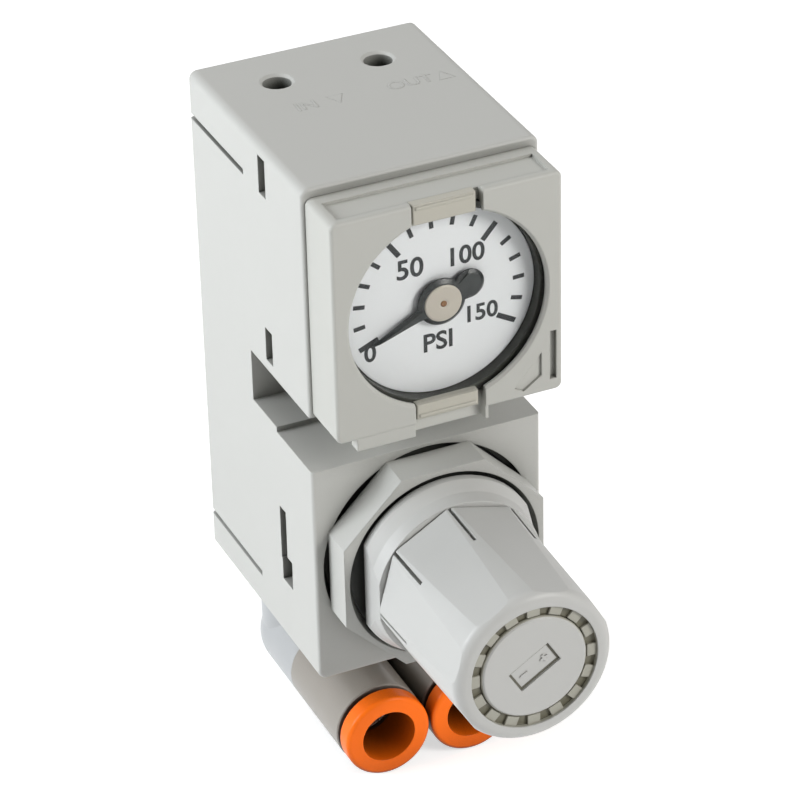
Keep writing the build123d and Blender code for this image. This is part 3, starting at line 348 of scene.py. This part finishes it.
def bump(tree, shader, height, distance, strength=1.0, normal=None):
    node = add(tree, "ShaderNodeBump")
    feed(tree, node.inputs["Strength"], strength)
    feed(tree, node.inputs["Distance"], distance)
    wire(tree, (height, node.inputs["Height"]), (node.outputs[0], shader.inputs["Normal"]))
    if normal is not None:
        wire(tree, (normal, node.inputs["Normal"]))


def pocket_shade(colour, limit, reach=8 * MM, strength=0.9, relief=0.6):
    """Values for a second painted recess shade that darkens whole pockets."""
    return {"Dust_Color": colour, "Open_Limit": limit, "Reach": reach, "Strength": strength,
            "Top_Relief": relief}


def moulded(name, colour, roughness=0.45, grain=5200.0, depth=6 * MICRON, tone=0.05,
            edge=0.2 * MM, edge_highlight_gain=1.18, edge_highlight_strength=0.45,
            recess_shade_colour=(0.1, 0.1, 0.08), recess_shade_strength=0.35, pocket=None, **constants):
    """Moulded resin: grained skin, soft edges with a painted highlight, painted shade in corners
    and pockets.
    """
    material, tree, shader = new_material(name, **constants)
    skin = placed(tree, SKIN, Color=colour, Grain_Scale=grain, Tone_Spread=tone,
                  Roughness=roughness)
    soft = placed(tree, EDGE, Radius=edge, Strength=edge_highlight_strength)
    # Painted shade in the corners and creases of every moulded finish.
    recess = placed(tree, RECESS, Dust_Color=recess_shade_colour, Strength=recess_shade_strength)
    # Painted highlight: the outer edges are mixed towards a lighter copy of the colour.
    lighter = tuple(min(1.0, part * edge_highlight_gain) for part in colour)
    edge_highlighted = mix_colour(tree, soft.outputs["Mask"], skin.outputs["Color"], lighter)
    wire(tree, (edge_highlighted, recess.inputs["Color"]),
         (skin.outputs["Roughness"], shader.inputs["Roughness"]))
    surface = recess.outputs["Color"]
    # A pocket shade paints a deeper shade over whole pockets.
    if pocket:
        darkened = placed(tree, RECESS, **pocket)
        wire(tree, (surface, darkened.inputs["Color"]))
        surface = darkened.outputs["Color"]
    wire(tree, (surface, shader.inputs["Base Color"]))
    # Painted glow: a finish given an emission strength glows with its own shaded colour, though it
    # is no lamp.
    if "Emission_Strength" in constants:
        wire(tree, (surface, shader.inputs["Emission Color"]))
    bump(tree, shader, skin.outputs["Height"], depth, normal=soft.outputs["Normal"])
    return material


def turned_finish(name, colour, roughness, centre, pitch=0.12 * MM, depth=4 * MICRON):
    edge = 0.12 * MM
    material, tree, shader = new_material(name, Metallic=1.0)
    rings = placed(tree, TURNED, Color=colour, Roughness=roughness, Centre=centre, Pitch=pitch)
    soft = placed(tree, EDGE, Radius=edge)
    wire(tree, (rings.outputs["Color"], shader.inputs["Base Color"]),
         (rings.outputs["Roughness"], shader.inputs["Roughness"]))
    bump(tree, shader, rings.outputs["Height"], depth, normal=soft.outputs["Normal"])
    return material


# ---------------------------------------------------------------- finishes

def knob_finish():
    """Knob resin, with the ring groove coloured olive-brown, darker on its floor."""
    groove_in, groove_out = 6.2 * MM, 7.65 * MM
    groove_colour_from, floor_from, groove_colour_to = 0.2 * MM, 0.55 * MM, 0.9 * MM
    groove_wall_colour, groove_floor_colour = (0.43, 0.42, 0.36), (0.17, 0.16, 0.115)
    material = moulded("knob_resin", (0.60, 0.60, 0.585), roughness=0.42, grain=4200.0,
                       edge=0.18 * MM)
    tree = material.node_tree
    base = tree.nodes["Principled BSDF"].inputs["Base Color"]
    place = object_place(tree)
    radius = radius_about_y(tree, place, (KNOB_X, 0, KNOB_Z))
    parts = add(tree, "ShaderNodeSeparateXYZ")
    wire(tree, (place, parts.inputs[0]))
    depth = parts.outputs["Y"]
    groove = maths(tree, "MULTIPLY", within(tree, radius, groove_in, groove_out),
                   within(tree, depth, KNOB_FACE + groove_colour_from, KNOB_FACE + groove_colour_to))
    floor = maths(tree, "GREATER_THAN", depth, KNOB_FACE + floor_from)
    groove_colour = mix_colour(tree, floor, groove_wall_colour, groove_floor_colour)
    wire(tree, (mix_colour(tree, groove, base.links[0].from_socket, groove_colour), base))
    return material


def lens_finish():
    """Clear moulding: lets the lamps' light through to the dial, with faint wipe marks."""
    light_through, wipe_strength = 0.92, 0.4
    material, tree, shader = new_material(
        "clear_lens", Base_Color=(0.98, 0.985, 0.97), Transmission_Weight=1.0, IOR=1.08)
    handled = placed(tree, GLOSS, Roughness=0.03, Spread=0.05)
    light = add(tree, "ShaderNodeLightPath")
    passing = maths(tree, "MAXIMUM", light.outputs["Is Shadow Ray"],
                    light.outputs["Is Diffuse Ray"])
    alpha = maths(tree, "SUBTRACT", 1.0, maths(tree, "MULTIPLY", passing, light_through))
    wire(tree, (handled.outputs["Roughness"], shader.inputs["Roughness"]),
         (alpha, shader.inputs["Alpha"]))
    bump(tree, shader, handled.outputs["Height"], 2 * MICRON, wipe_strength)
    return material


def ink_finish(name, colour):
    material, tree, shader = new_material(name)
    skin = placed(tree, SKIN, Color=colour, Grain_Scale=9000.0, Tone_Spread=0.5, Roughness=0.5)
    wire(tree, (skin.outputs["Color"], shader.inputs["Base Color"]),
         (skin.outputs["Roughness"], shader.inputs["Roughness"]))
    bump(tree, shader, skin.outputs["Height"], 3 * MICRON)
    return material


# Near-black of the painted shade in deep pockets of the housing and the cover.
POCKET_SHADE_COLOUR = (0.02, 0.022, 0.012)
# The housing's pocket shade paints the dark of the notch under the gauge and of other deep
# pockets.
HOUSING = moulded("housing_resin", (0.585, 0.585, 0.56), roughness=0.46, grain=4600.0,
                  depth=7 * MICRON,
                  pocket=pocket_shade(POCKET_SHADE_COLOUR, limit=0.85, reach=9 * MM, strength=0.97))
# The cover gets a darker, more olive copy of the housing resin; the darkening is painted shade for
# its front face.
COVER_SHADED = moulded("cover_resin_shaded", (0.56, 0.56, 0.525), roughness=0.42, depth=5 * MICRON,
                pocket=pocket_shade(POCKET_SHADE_COLOUR, limit=0.45))
KNOB = knob_finish()
DARK = moulded("dark_resin", (0.028, 0.030, 0.026), roughness=0.5, tone=0.2, edge_highlight_gain=2.0,
               edge_highlight_strength=0.3, recess_shade_strength=0.2)
ELBOW = moulded("elbow_resin", (0.49, 0.50, 0.51), roughness=0.36, grain=3800.0,
                depth=4 * MICRON)
# The sleeve's pocket shade paints the shade under the body above it.
SLEEVE = moulded("sleeve_resin", (0.34, 0.31, 0.275), roughness=0.3, grain=3600.0,
                 depth=4 * MICRON, tone=0.12,
                 pocket=pocket_shade((0.012, 0.01, 0.006), limit=0.75, reach=10 * MM))
# The orange resin glows faintly with its own colour, a painted glow for light scattered inside it;
# its bore gets a dark red painted shade.
ORANGE = moulded("orange_resin", (1.0, 0.17, 0.006), roughness=0.34, grain=3200.0,
                 depth=3 * MICRON, tone=0.08, edge_highlight_gain=1.0, recess_shade_colour=(0.5, 0.02, 0.0),
                 recess_shade_strength=0.6,
                 pocket=pocket_shade((0.012, 0.004, 0.0), limit=0.8, reach=10 * MM,
                                     strength=1.0, relief=0.0),
                 Specular_IOR_Level=0.2, Emission_Strength=0.2)
DIAL = moulded("dial_white", (0.80, 0.815, 0.84), roughness=0.38, grain=7000.0,
               depth=2 * MICRON, tone=0.02, edge_highlight_strength=0.0, recess_shade_strength=0.1)
# The needle's strong painted highlight makes its bevelled edges grey.
NEEDLE = moulded("needle_black", (0.018, 0.021, 0.022), roughness=0.3, grain=6000.0,
                 depth=3 * MICRON, tone=0.3, edge=0.08 * MM, edge_highlight_gain=5.0,
                 edge_highlight_strength=0.3, recess_shade_strength=0.0)
HUB = moulded("hub_cap", (0.72, 0.655, 0.575), roughness=0.36, grain=6500.0,
              depth=4 * MICRON, edge=0.12 * MM)
HUB_PIN = turned_finish("hub_pin_bronze", (0.21, 0.12, 0.07), 0.4, (DIAL_X, 0, DIAL_Z),
                        pitch=0.05 * MM)
CREAM = moulded("tab_resin", (0.55, 0.53, 0.46), roughness=0.34, depth=4 * MICRON,
                recess_shade_colour=(0.07, 0.07, 0.03), recess_shade_strength=0.5)
LENS = lens_finish()
BRASS = turned_finish("turned_brass", (0.72, 0.50, 0.22), 0.28, (KNOB_X, 0, KNOB_Z))
STEEL = turned_finish("spring_steel", (0.55, 0.55, 0.56), 0.3, (0, 0, 0), pitch=0.3 * MM,
                      depth=2 * MICRON)
ALUMINIUM = turned_finish("turned_aluminium", (0.77, 0.77, 0.78), 0.32, (KNOB_X, 0, KNOB_Z))
RUBBER = moulded("seal_rubber", (0.022, 0.022, 0.022), roughness=0.62, grain=2600.0,
                 depth=10 * MICRON, tone=0.3, edge_highlight_gain=2.5)
PRINT = ink_finish("dial_print", (0.022, 0.024, 0.027))
# Dark olive of the painted shade strips in the knob cap's recess.
SIGN_RECESS_SHADE = ink_finish("sign_recess_shade", (0.13, 0.125, 0.095))

BY_SLOT = {
    "housing_resin": HOUSING, "knob_resin": KNOB, "dark_resin": DARK, "elbow_resin": ELBOW,
    "sleeve_resin": SLEEVE, "orange_resin": ORANGE, "dial_white": DIAL,
    "needle_black": NEEDLE, "hub_cap": HUB, "clear_lens": LENS, "brass": BRASS,
    "steel": STEEL, "aluminium": ALUMINIUM, "seal_rubber": RUBBER,
}
for part in frame["record"]["subparts"]:
    solid = nodes[part["node"]]
    solid.data.materials.clear()
    solid.data.materials.append(BY_SLOT[part["material_slot"]])
nodes["gauge_cover"].data.materials[0] = COVER_SHADED


# ---------------------------------------------------------------- mesh tools

def piece(name, mesh_data, material, body, replaces=()):
    """Links a finished mesh, gives it its finish and hangs it on its body."""
    obj = bpy.data.objects.new(name, mesh_data)
    bpy.context.scene.collection.objects.link(obj)
    mesh_data.materials.clear()
    mesh_data.materials.append(material)
    for polygon in mesh_data.polygons:
        polygon.use_smooth = False
    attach(obj, body)
    if replaces:
        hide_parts(*replaces)
    return obj


def built_piece(name, bm, material, body, replaces=()):
    """Piece from a bmesh, with its doubles merged and its faces turned outwards."""
    merge_distance = 1e-8
    bmesh.ops.remove_doubles(bm, verts=bm.verts, dist=merge_distance)
    bmesh.ops.recalc_face_normals(bm, faces=bm.faces)
    data = bpy.data.meshes.new(name)
    bm.to_mesh(data)
    bm.free()
    return piece(name, data, material, body, replaces)


def bridge(bm, rings):
    """Bands of quads between closed rings of as many vertices each."""
    for one, two in zip(rings, rings[1:]):
        for i in range(len(one)):
            j = (i + 1) % len(one)
            bm.faces.new((one[i], one[j], two[j], two[i]))


def slab(bm, outline, back, front, bevel=0.0):
    """Closed plate in the XZ plane between two depths; outline as (x, z) in metres."""
    def ring(points, y):
        return [bm.verts.new((x, y, z)) for x, z in points]

    rings = [ring(outline, back)]
    if bevel:
        middle = sum((Vector(p) for p in outline), Vector((0, 0))) / len(outline)
        drawn_in = [Vector(p) + (middle - Vector(p)).normalized() * bevel for p in outline]
        rings.append(ring(outline, front + (bevel if back > front else -bevel)))
        rings.append(ring(drawn_in, front))
    else:
        rings.append(ring(outline, front))
    bridge(bm, rings)
    bm.faces.new(rings[0])
    bm.faces.new(rings[-1])


def lathe(bm, profile, centre, steps=72):
    """Solid of revolution about a Y axis from (radius, y) points; radius 0 closes it."""
    rings = []
    for radius, y in profile:
        if radius == 0:
            rings.append([bm.verts.new((centre[0], y, centre[1]))])
            continue
        turns = [2 * math.pi * i / steps for i in range(steps)]
        rings.append([bm.verts.new((centre[0] + radius * math.cos(a), y,
                                    centre[1] + radius * math.sin(a))) for a in turns])
    for one, two in zip(rings, rings[1:]):
        if len(one) == len(two):
            bridge(bm, [one, two])
            continue
        for i in range(steps):
            j = (i + 1) % steps
            if len(one) == 1:
                bm.faces.new((one[0], two[j], two[i]))
            else:
                bm.faces.new((one[i], one[j], two[0]))


def bar_outline(x0, z0, x1, z1, width):
    """Corners of a straight bar between two points."""
    along = Vector((x1 - x0, z1 - z0)).normalized() * (width / 2)
    side = Vector((-along.y, along.x))
    return [(x0 + side.x, z0 + side.y), (x1 + side.x, z1 + side.y),
            (x1 - side.x, z1 - side.y), (x0 - side.x, z0 - side.y)]


FACING_FRONT = Matrix.Rotation(math.pi / 2, 4, "X")
FACING_UP = Matrix.Identity(4)


def lettering(name, words, size, place, turn, height, weight, material):
    """Characters on the housing; turn stands them on the face they belong to."""
    curve = bpy.data.curves.new(name, "FONT")
    curve.body = words
    curve.size = size
    curve.extrude = height / 2
    curve.offset = weight
    curve.align_x = "CENTER"
    curve.align_y = "CENTER"
    curve.resolution_u = 4
    holder = bpy.data.objects.new(name + "_curve", curve)
    bpy.context.scene.collection.objects.link(holder)
    bpy.context.view_layer.update()
    made = holder.evaluated_get(bpy.context.evaluated_depsgraph_get())
    data = bpy.data.meshes.new_from_object(made)
    bpy.data.objects.remove(holder)
    data.transform(Matrix.Translation(place) @ turn)
    piece(name, data, material, "housing")


# ---------------------------------------------------------------- dial print

# Angles in degrees from +X towards +Z, values in the dial's unit
SCALE_ZERO = 203.0
SCALE_SPAN = 232.0
SCALE_FULL = 150
SCALE_STEP = 10
LABEL_STEP = 50

# Inner radius, outer radius and width in millimetres
LONG_MARK = (7.9, 10.35, 0.62)
SHORT_MARK = (8.85, 10.2, 0.5)

# Value: radius in millimetres, angle in degrees, size in millimetres
NUMERALS = {0: (9.55, -150, 2.9), 50: (5.6, 127, 3.3), 100: (5.6, 55, 3.1),
            150: (5.75, -31, 2.8)}
UNIT_SIZE = 3.1 * MM
UNIT_LEFT = 0.2 * MM
UNIT_BELOW = 5.3 * MM


def on_dial(radius, angle):
    """Point on the dial at a radius in millimetres and an angle in radians."""
    return (DIAL_X + radius * MM * math.cos(angle), DIAL_Z + radius * MM * math.sin(angle))


def dial_scale():
    """Marks every ten units, the labelled ones longer and thicker."""
    foot, face = DIAL_FACE + 0.02 * MM, DIAL_FACE - 0.04 * MM
    bm = bmesh.new()
    for value in range(0, SCALE_FULL + 1, SCALE_STEP):
        angle = math.radians(SCALE_ZERO - SCALE_SPAN * value / SCALE_FULL)
        inner, outer, width = SHORT_MARK if value % LABEL_STEP else LONG_MARK
        ends = (*on_dial(inner, angle), *on_dial(outer, angle))
        slab(bm, bar_outline(*ends, width * MM), foot, face)
    built_piece("dial_scale", bm, PRINT, "housing")


def dial_numerals():
    print_middle, thickness, weight = DIAL_FACE - 0.01 * MM, 0.05 * MM, 0.06 * MM
    prints = [(f"dial_numeral_{value}", str(value), size * MM,
               on_dial(radius, math.radians(angle)))
              for value, (radius, angle, size) in NUMERALS.items()]
    prints.append(("dial_unit", "PSI", UNIT_SIZE, (DIAL_X - UNIT_LEFT, DIAL_Z - UNIT_BELOW)))
    for name, text, size, (x, z) in prints:
        lettering(name, text, size, (x, print_middle, z), FACING_FRONT, thickness, weight,
                  PRINT)


# ---------------------------------------------------------------- needle

# Outline in millimetres: a round boss, a tapered blade and a round tail
BOSS_R = 2.8
BLADE_HALF = 0.95
BLADE_LENGTH = 8.9
TIP_HALF = 0.12
TAIL_R = 1.75
TAIL_AT = 3.6

# The upper face is smaller all round, and more so at the blade's tip
BEVEL = 0.42
BEVELLED_TIP_HALF = 0.02
BEVEL_AT_SIDE = 0.9
BEVEL_AT_TIP = 1.5


def needle_reach(angle, shrink):
    """Radius in millimetres of the needle's outline at an angle from its point."""
    reach = BOSS_R - shrink
    cosine, sine = math.cos(angle), abs(math.sin(angle))
    if cosine > 0:
        half = BLADE_HALF - shrink * BEVEL_AT_SIDE
        tip = BLADE_LENGTH - shrink * BEVEL_AT_TIP
        slope = (half - (BEVELLED_TIP_HALF if shrink else TIP_HALF)) / tip
        blade = half / (sine + slope * cosine)
        return max(reach, min(blade, tip / cosine))
    tail_r = TAIL_R - shrink
    side = TAIL_AT * sine
    if side < tail_r:
        reach = max(reach, TAIL_AT * -cosine + math.sqrt(tail_r * tail_r - side * side))
    return reach


def needle_blade():
    """Black pointer with a bevelled upper face, round boss and bulb tail."""
    even = [math.radians(a) for a in range(0, 360, 4)]
    at_blade = [math.radians(side * a) % (2 * math.pi) for side in (-1, 1)
                for a in (0.4, 0.8, 1.4, 2.2, 3.2, 5, 6.5, 9, 11, 14, 18, 22)]
    at_tail = [math.radians(180 + side * a) for side in (-1, 1)
               for a in (14, 18, 22, 25, 27, 28.5)]
    angles = sorted(set(even + at_blade + at_tail))
    zero = math.radians(SCALE_ZERO)
    shoulder, face = NEEDLE_FACE + 0.12 * MM, NEEDLE_FACE - 0.22 * MM
    bm = bmesh.new()
    rings = []
    for shrink, y in ((0.0, NEEDLE_BACK), (0.0, shoulder), (BEVEL, face)):
        points = [on_dial(needle_reach(angle, shrink), zero + angle) for angle in angles]
        rings.append([bm.verts.new((x, y, z)) for x, z in points])
    bridge(bm, rings)
    for ring, y in ((rings[0], NEEDLE_BACK), (rings[-1], face)):
        hub = bm.verts.new((DIAL_X, y, DIAL_Z))
        for i in range(len(ring)):
            bm.faces.new((ring[i], ring[(i + 1) % len(ring)], hub))
    built_piece("needle_pointer", bm, NEEDLE, "needle", replaces=("needle",))


def needle_cap():
    """Domed ivory cap with the bronze shaft end in its middle."""
    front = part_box("needle_hub")[0].y
    foot = NEEDLE_FACE + 0.1 * MM
    cap_r, dish_r, bore_r, bore_floor = 2.2 * MM, 0.6 * MM, 0.45 * MM, front + 0.05 * MM
    pin_r, pin_foot, pin_top = 0.36 * MM, front + 0.2 * MM, front - 0.06 * MM
    bm = bmesh.new()
    lathe(bm, [(0, foot), (cap_r, foot), (cap_r, front + 0.16 * MM),
               (cap_r - 0.08 * MM, front + 0.06 * MM), (cap_r - 0.25 * MM, front + 0.02 * MM),
               (dish_r, front), (bore_r, bore_floor), (0, bore_floor)], (DIAL_X, DIAL_Z))
    built_piece("needle_cap", bm, HUB, "needle", replaces=("needle_hub",))
    bm = bmesh.new()
    lathe(bm, [(0, pin_foot), (pin_r, pin_foot), (pin_r, pin_top + 0.04 * MM),
               (pin_r - 0.06 * MM, pin_top + 0.01 * MM), (0, pin_top)], (DIAL_X, DIAL_Z), steps=32)
    built_piece("needle_pin", bm, HUB_PIN, "needle")


# ---------------------------------------------------------------- lens

def gauge_window():
    """Clear disc with a polished edge, and the two cream snap tabs that hold it."""
    lens_low, lens_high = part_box("gauge_lens")
    disc_r, disc_edge = 12.25 * MM, 0.1 * MM
    front, back = lens_low.y + 0.45 * MM, lens_high.y
    bm = bmesh.new()
    lathe(bm, [(0, back), (disc_r, back), (disc_r, front + disc_edge),
               (disc_r - disc_edge, front), (0, front)], (DIAL_X, DIAL_Z), steps=128)
    built_piece("lens_disc", bm, LENS, "housing", replaces=("gauge_lens",))

    left, right, tab_in = -4.0 * MM, 3.4 * MM, 11.1 * MM
    tab_back, tab_face, tab_bevel = back - 0.02 * MM, lens_low.y, 0.12 * MM
    rib_inset, rib_from_edge, rib_half = 0.3 * MM, 0.42 * MM, 0.2 * MM
    rib_left, rib_right = left + rib_inset, right - rib_inset
    rib_foot, rib_face, rib_bevel = tab_face + 0.05 * MM, tab_face - 0.13 * MM, 0.08 * MM
    for name, z0, z1, rib_z in (
            ("lens_tab_upper", DIAL_Z + tab_in, lens_high.z, lens_high.z - rib_from_edge),
            ("lens_tab_lower", lens_low.z, DIAL_Z - tab_in, lens_low.z + rib_from_edge)):
        rib_low, rib_high = rib_z - rib_half, rib_z + rib_half
        bm = bmesh.new()
        slab(bm, [(left, z0), (right, z0), (right, z1), (left, z1)], tab_back, tab_face,
             tab_bevel)
        slab(bm, [(rib_left, rib_low), (rib_right, rib_low), (rib_right, rib_high),
                  (rib_left, rib_high)], rib_foot, rib_face, rib_bevel)
        built_piece(name, bm, CREAM, "housing")


# ---------------------------------------------------------------- small moulded detail

def flow_marks():
    """Raised port labels and arrows on the top face."""
    row_y = -14.0 * MM
    label_size, label_height, label_weight = 2.6 * MM, 0.08 * MM, 0.03 * MM
    label_middle = TOP - 0.02 * MM
    arrow_half, arrow_foot, arrow_top = 1.0 * MM, TOP - 0.05 * MM, TOP + 0.02 * MM
    for label, x in (("IN", -5.6 * MM), ("OUT", 6.9 * MM)):
        lettering("top_label_" + label.lower(), label, label_size, (x, row_y, label_middle),
                  FACING_UP, label_height, label_weight, HOUSING)
    for name, x, way in (("top_arrow_in", -1.9 * MM, -1), ("top_arrow_out", 11.0 * MM, 1)):
        bm = bmesh.new()
        tail, tip = row_y - arrow_half * way, row_y + arrow_half * way
        corners = [(x - arrow_half, tail), (x + arrow_half, tail), (x, tip)]
        rings = [[bm.verts.new((px, py, z)) for px, py in corners]
                 for z in (arrow_foot, arrow_top)]
        bridge(bm, rings)
        for ring in rings:
            bm.faces.new(ring)
        built_piece(name, bm, HOUSING, "housing")


def cap_signs():
    """Minus and plus signs in the knob cap's recess, with dark strips along the recess's inner
    wall that paint its shade.
    """
    floor = CAP_FACE + 0.3 * MM
    foot, sign_face, shade_strip_face = floor + 0.05 * MM, floor - 0.14 * MM, floor - 0.04 * MM
    turn = math.radians(31.5)
    along = Vector((math.cos(turn), math.sin(turn)))
    across = Vector((-along.y, along.x))

    def stroke(bm, u0, v0, u1, v1, width, face):
        p = along * u0 + across * v0
        q = along * u1 + across * v1
        slab(bm, bar_outline(KNOB_X + p.x * MM, KNOB_Z + p.y * MM, KNOB_X + q.x * MM,
                             KNOB_Z + q.y * MM, width * MM), foot, face)

    # Millimetres along and across the signs' row
    sign_at, sign_half, sign_line = 1.4, 0.5, 0.3
    inner, outer, gap = sign_at - sign_half, sign_at + sign_half, sign_line / 2
    bm = bmesh.new()
    stroke(bm, -outer, 0, -inner, 0, sign_line, sign_face)
    stroke(bm, inner, 0, outer, 0, sign_line, sign_face)
    stroke(bm, sign_at, -sign_half, sign_at, -gap, sign_line, sign_face)
    stroke(bm, sign_at, gap, sign_at, sign_half, sign_line, sign_face)
    built_piece("cap_signs", bm, KNOB, "knob")

    # Dark strips round the signs: painted shade at the foot of the recess's wall.
    half_l, half_w, line = 2.6, 1.36, 0.26
    long_end, short_end = half_l + line / 2, half_w - line / 2
    bm = bmesh.new()
    for side in (-1, 1):
        stroke(bm, -long_end, side * half_w, long_end, side * half_w, line, shade_strip_face)
        stroke(bm, side * half_l, -short_end, side * half_l, short_end, line, shade_strip_face)
    built_piece("cap_sign_recess_shade", bm, SIGN_RECESS_SHADE, "knob")


# ---------------------------------------------------------------- springs and diaphragm

def pressed_spring(node):
    """Copy of a coil spring, in spring steel, hung on the housing in place of the solid."""
    data = nodes[node].data.copy()
    data.transform(nodes[node].matrix_world)
    coil = piece(node + "_coil", data, STEEL, "housing", replaces=(node,))
    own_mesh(coil)


def split_diaphragm():
    """Middle of the diaphragm, which goes with its plate, and the clamped rim with its bead."""
    low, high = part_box("diaphragm")
    back = high.y
    front = back - 0.8 * MM
    bore_r, middle_r = 1.7 * MM, 7.8 * MM
    rim_in, rim_out = 7.85 * MM, (high.x - low.x) / 2
    bead_at, bead_r, hollow_r = 8.8 * MM, 0.9 * MM, 0.45 * MM
    bm = bmesh.new()
    lathe(bm, [(bore_r, front), (middle_r, front), (middle_r, back), (bore_r, back),
               (bore_r, front)], (KNOB_X, KNOB_Z))
    built_piece("diaphragm_middle", bm, RUBBER, "plate",
                replaces=("diaphragm",))
    arc = [math.pi * i / 10 for i in range(11)]
    bead = [(bead_at - bead_r * math.cos(a), front - bead_r * math.sin(a)) for a in arc]
    hollow = [(bead_at + hollow_r * math.cos(a), back - hollow_r * math.sin(a)) for a in arc]
    bm = bmesh.new()
    lathe(bm, [(rim_in, front), *bead, (rim_out, front), (rim_out, back), *hollow,
               (rim_in, back), (rim_in, front)], (KNOB_X, KNOB_Z))
    built_piece("diaphragm_rim", bm, RUBBER, "housing",
                replaces=("diaphragm",))


dial_scale()
dial_numerals()
needle_blade()
needle_cap()
gauge_window()
flow_marks()
cap_signs()
pressed_spring("adjusting_spring")
pressed_spring("valve_spring")
split_diaphragm()


# ---------------------------------------------------------------- floor, light and camera

def studio_floor():
    """Pale floor that reads white to the camera and keeps a soft shadow."""
    half_size, below = 2.5, 0.02 * MM
    near_object, far_away, glow_near, glow_far = 0.16, 0.4, 0.62, 1.0
    darker, lighter = (0.80, 0.80, 0.80), (0.84, 0.84, 0.84)
    material, tree, shader = new_material("studio_floor", Roughness=0.9,
                                          Emission_Color=(1, 1, 1))
    place = object_place(tree)
    mottle = noise(tree, place, 3.0, 2.0, 0.5)
    shade = mix_colour(tree, remap(tree, mottle, 0.3, 0.7), darker, lighter)
    reach = add(tree, "ShaderNodeVectorMath", operation="LENGTH")
    wire(tree, (place, reach.inputs[0]))
    white = remap(tree, reach.outputs["Value"], near_object, far_away, glow_near, glow_far)
    wire(tree, (shade, shader.inputs["Base Color"]),
         (maths(tree, "MULTIPLY", seen_directly(tree), white),
          shader.inputs["Emission Strength"]))
    bm = bmesh.new()
    bmesh.ops.create_grid(bm, x_segments=8, y_segments=8, size=half_size)
    data = bpy.data.meshes.new("studio_floor")
    bm.to_mesh(data)
    bm.free()
    data.materials.append(material)
    floor = bpy.data.objects.new("studio_floor", data)
    floor.location.z = cad_box[0].z - below
    bpy.context.scene.collection.objects.link(floor)


def soft_lamp(name, direction, distance, size, watts, colour=(1, 1, 1)):
    """Square lamp aimed at the middle of the object."""
    target = (cad_box[0] + cad_box[1]) / 2
    data = bpy.data.lights.new(name, "AREA")
    data.shape = "SQUARE"
    data.size = size
    data.energy = watts
    data.color = colour
    lamp = bpy.data.objects.new(name, data)
    way = Vector(direction).normalized()
    lamp.location = target + way * distance
    lamp.rotation_mode = "QUATERNION"
    lamp.rotation_quaternion = (-way).to_track_quat("-Z", "Y")
    bpy.context.scene.collection.objects.link(lamp)


def studio_world():
    """Weak warm light on the object from all sides, white where the camera looks past it."""
    ambient_colour, ambient_strength = (1.0, 0.985, 0.95), 0.11
    world = bpy.data.worlds.new("studio")
    bpy.context.scene.world = world
    world.use_nodes = True
    tree = world.node_tree
    tree.nodes.clear()

    def background(colour, strength):
        node = add(tree, "ShaderNodeBackground")
        feed(tree, node.inputs["Color"], colour)
        feed(tree, node.inputs["Strength"], strength)
        return node.outputs[0]

    mixed = add(tree, "ShaderNodeMixShader")
    out = add(tree, "ShaderNodeOutputWorld")
    wire(tree, (seen_directly(tree), mixed.inputs[0]),
         (background(ambient_colour, ambient_strength), mixed.inputs[1]),
         (background((1, 1, 1), 1.0), mixed.inputs[2]),
         (mixed.outputs[0], out.inputs["Surface"]))


def photo_camera():
    """The photograph's viewpoint, found from the object's straight edges."""
    right = Vector((0.9084, -0.4175, -0.0221)).normalized()
    up = Vector((0.2351, 0.4664, 0.8527)).normalized()
    place = Vector((-0.15313, -0.36995, 0.22921))
    data = bpy.data.cameras.new("photo_camera")
    data.lens = 177.4
    data.sensor_width = 36.0
    data.clip_start = 0.01
    data.clip_end = 20.0
    camera = bpy.data.objects.new("photo_camera", data)
    stand = Matrix((right, up, right.cross(up))).transposed().to_4x4()
    stand.translation = place
    camera.matrix_world = stand
    bpy.context.scene.collection.objects.link(camera)
    bpy.context.scene.camera = camera


studio_floor()
studio_world()
soft_lamp("key_left", (-0.9, 0.28, 0.36), distance=0.75, size=0.4, watts=4.9,
          colour=(0.94, 0.975, 1.0))
soft_lamp("front_right", (0.5, -0.72, 0.46), distance=0.8, size=0.3, watts=3.6,
          colour=(1.0, 0.99, 0.965))
soft_lamp("top_back", (-0.15, 0.42, 0.9), distance=0.8, size=0.4, watts=0.9)
photo_camera()
bpy.context.scene.view_settings.view_transform = "Standard"
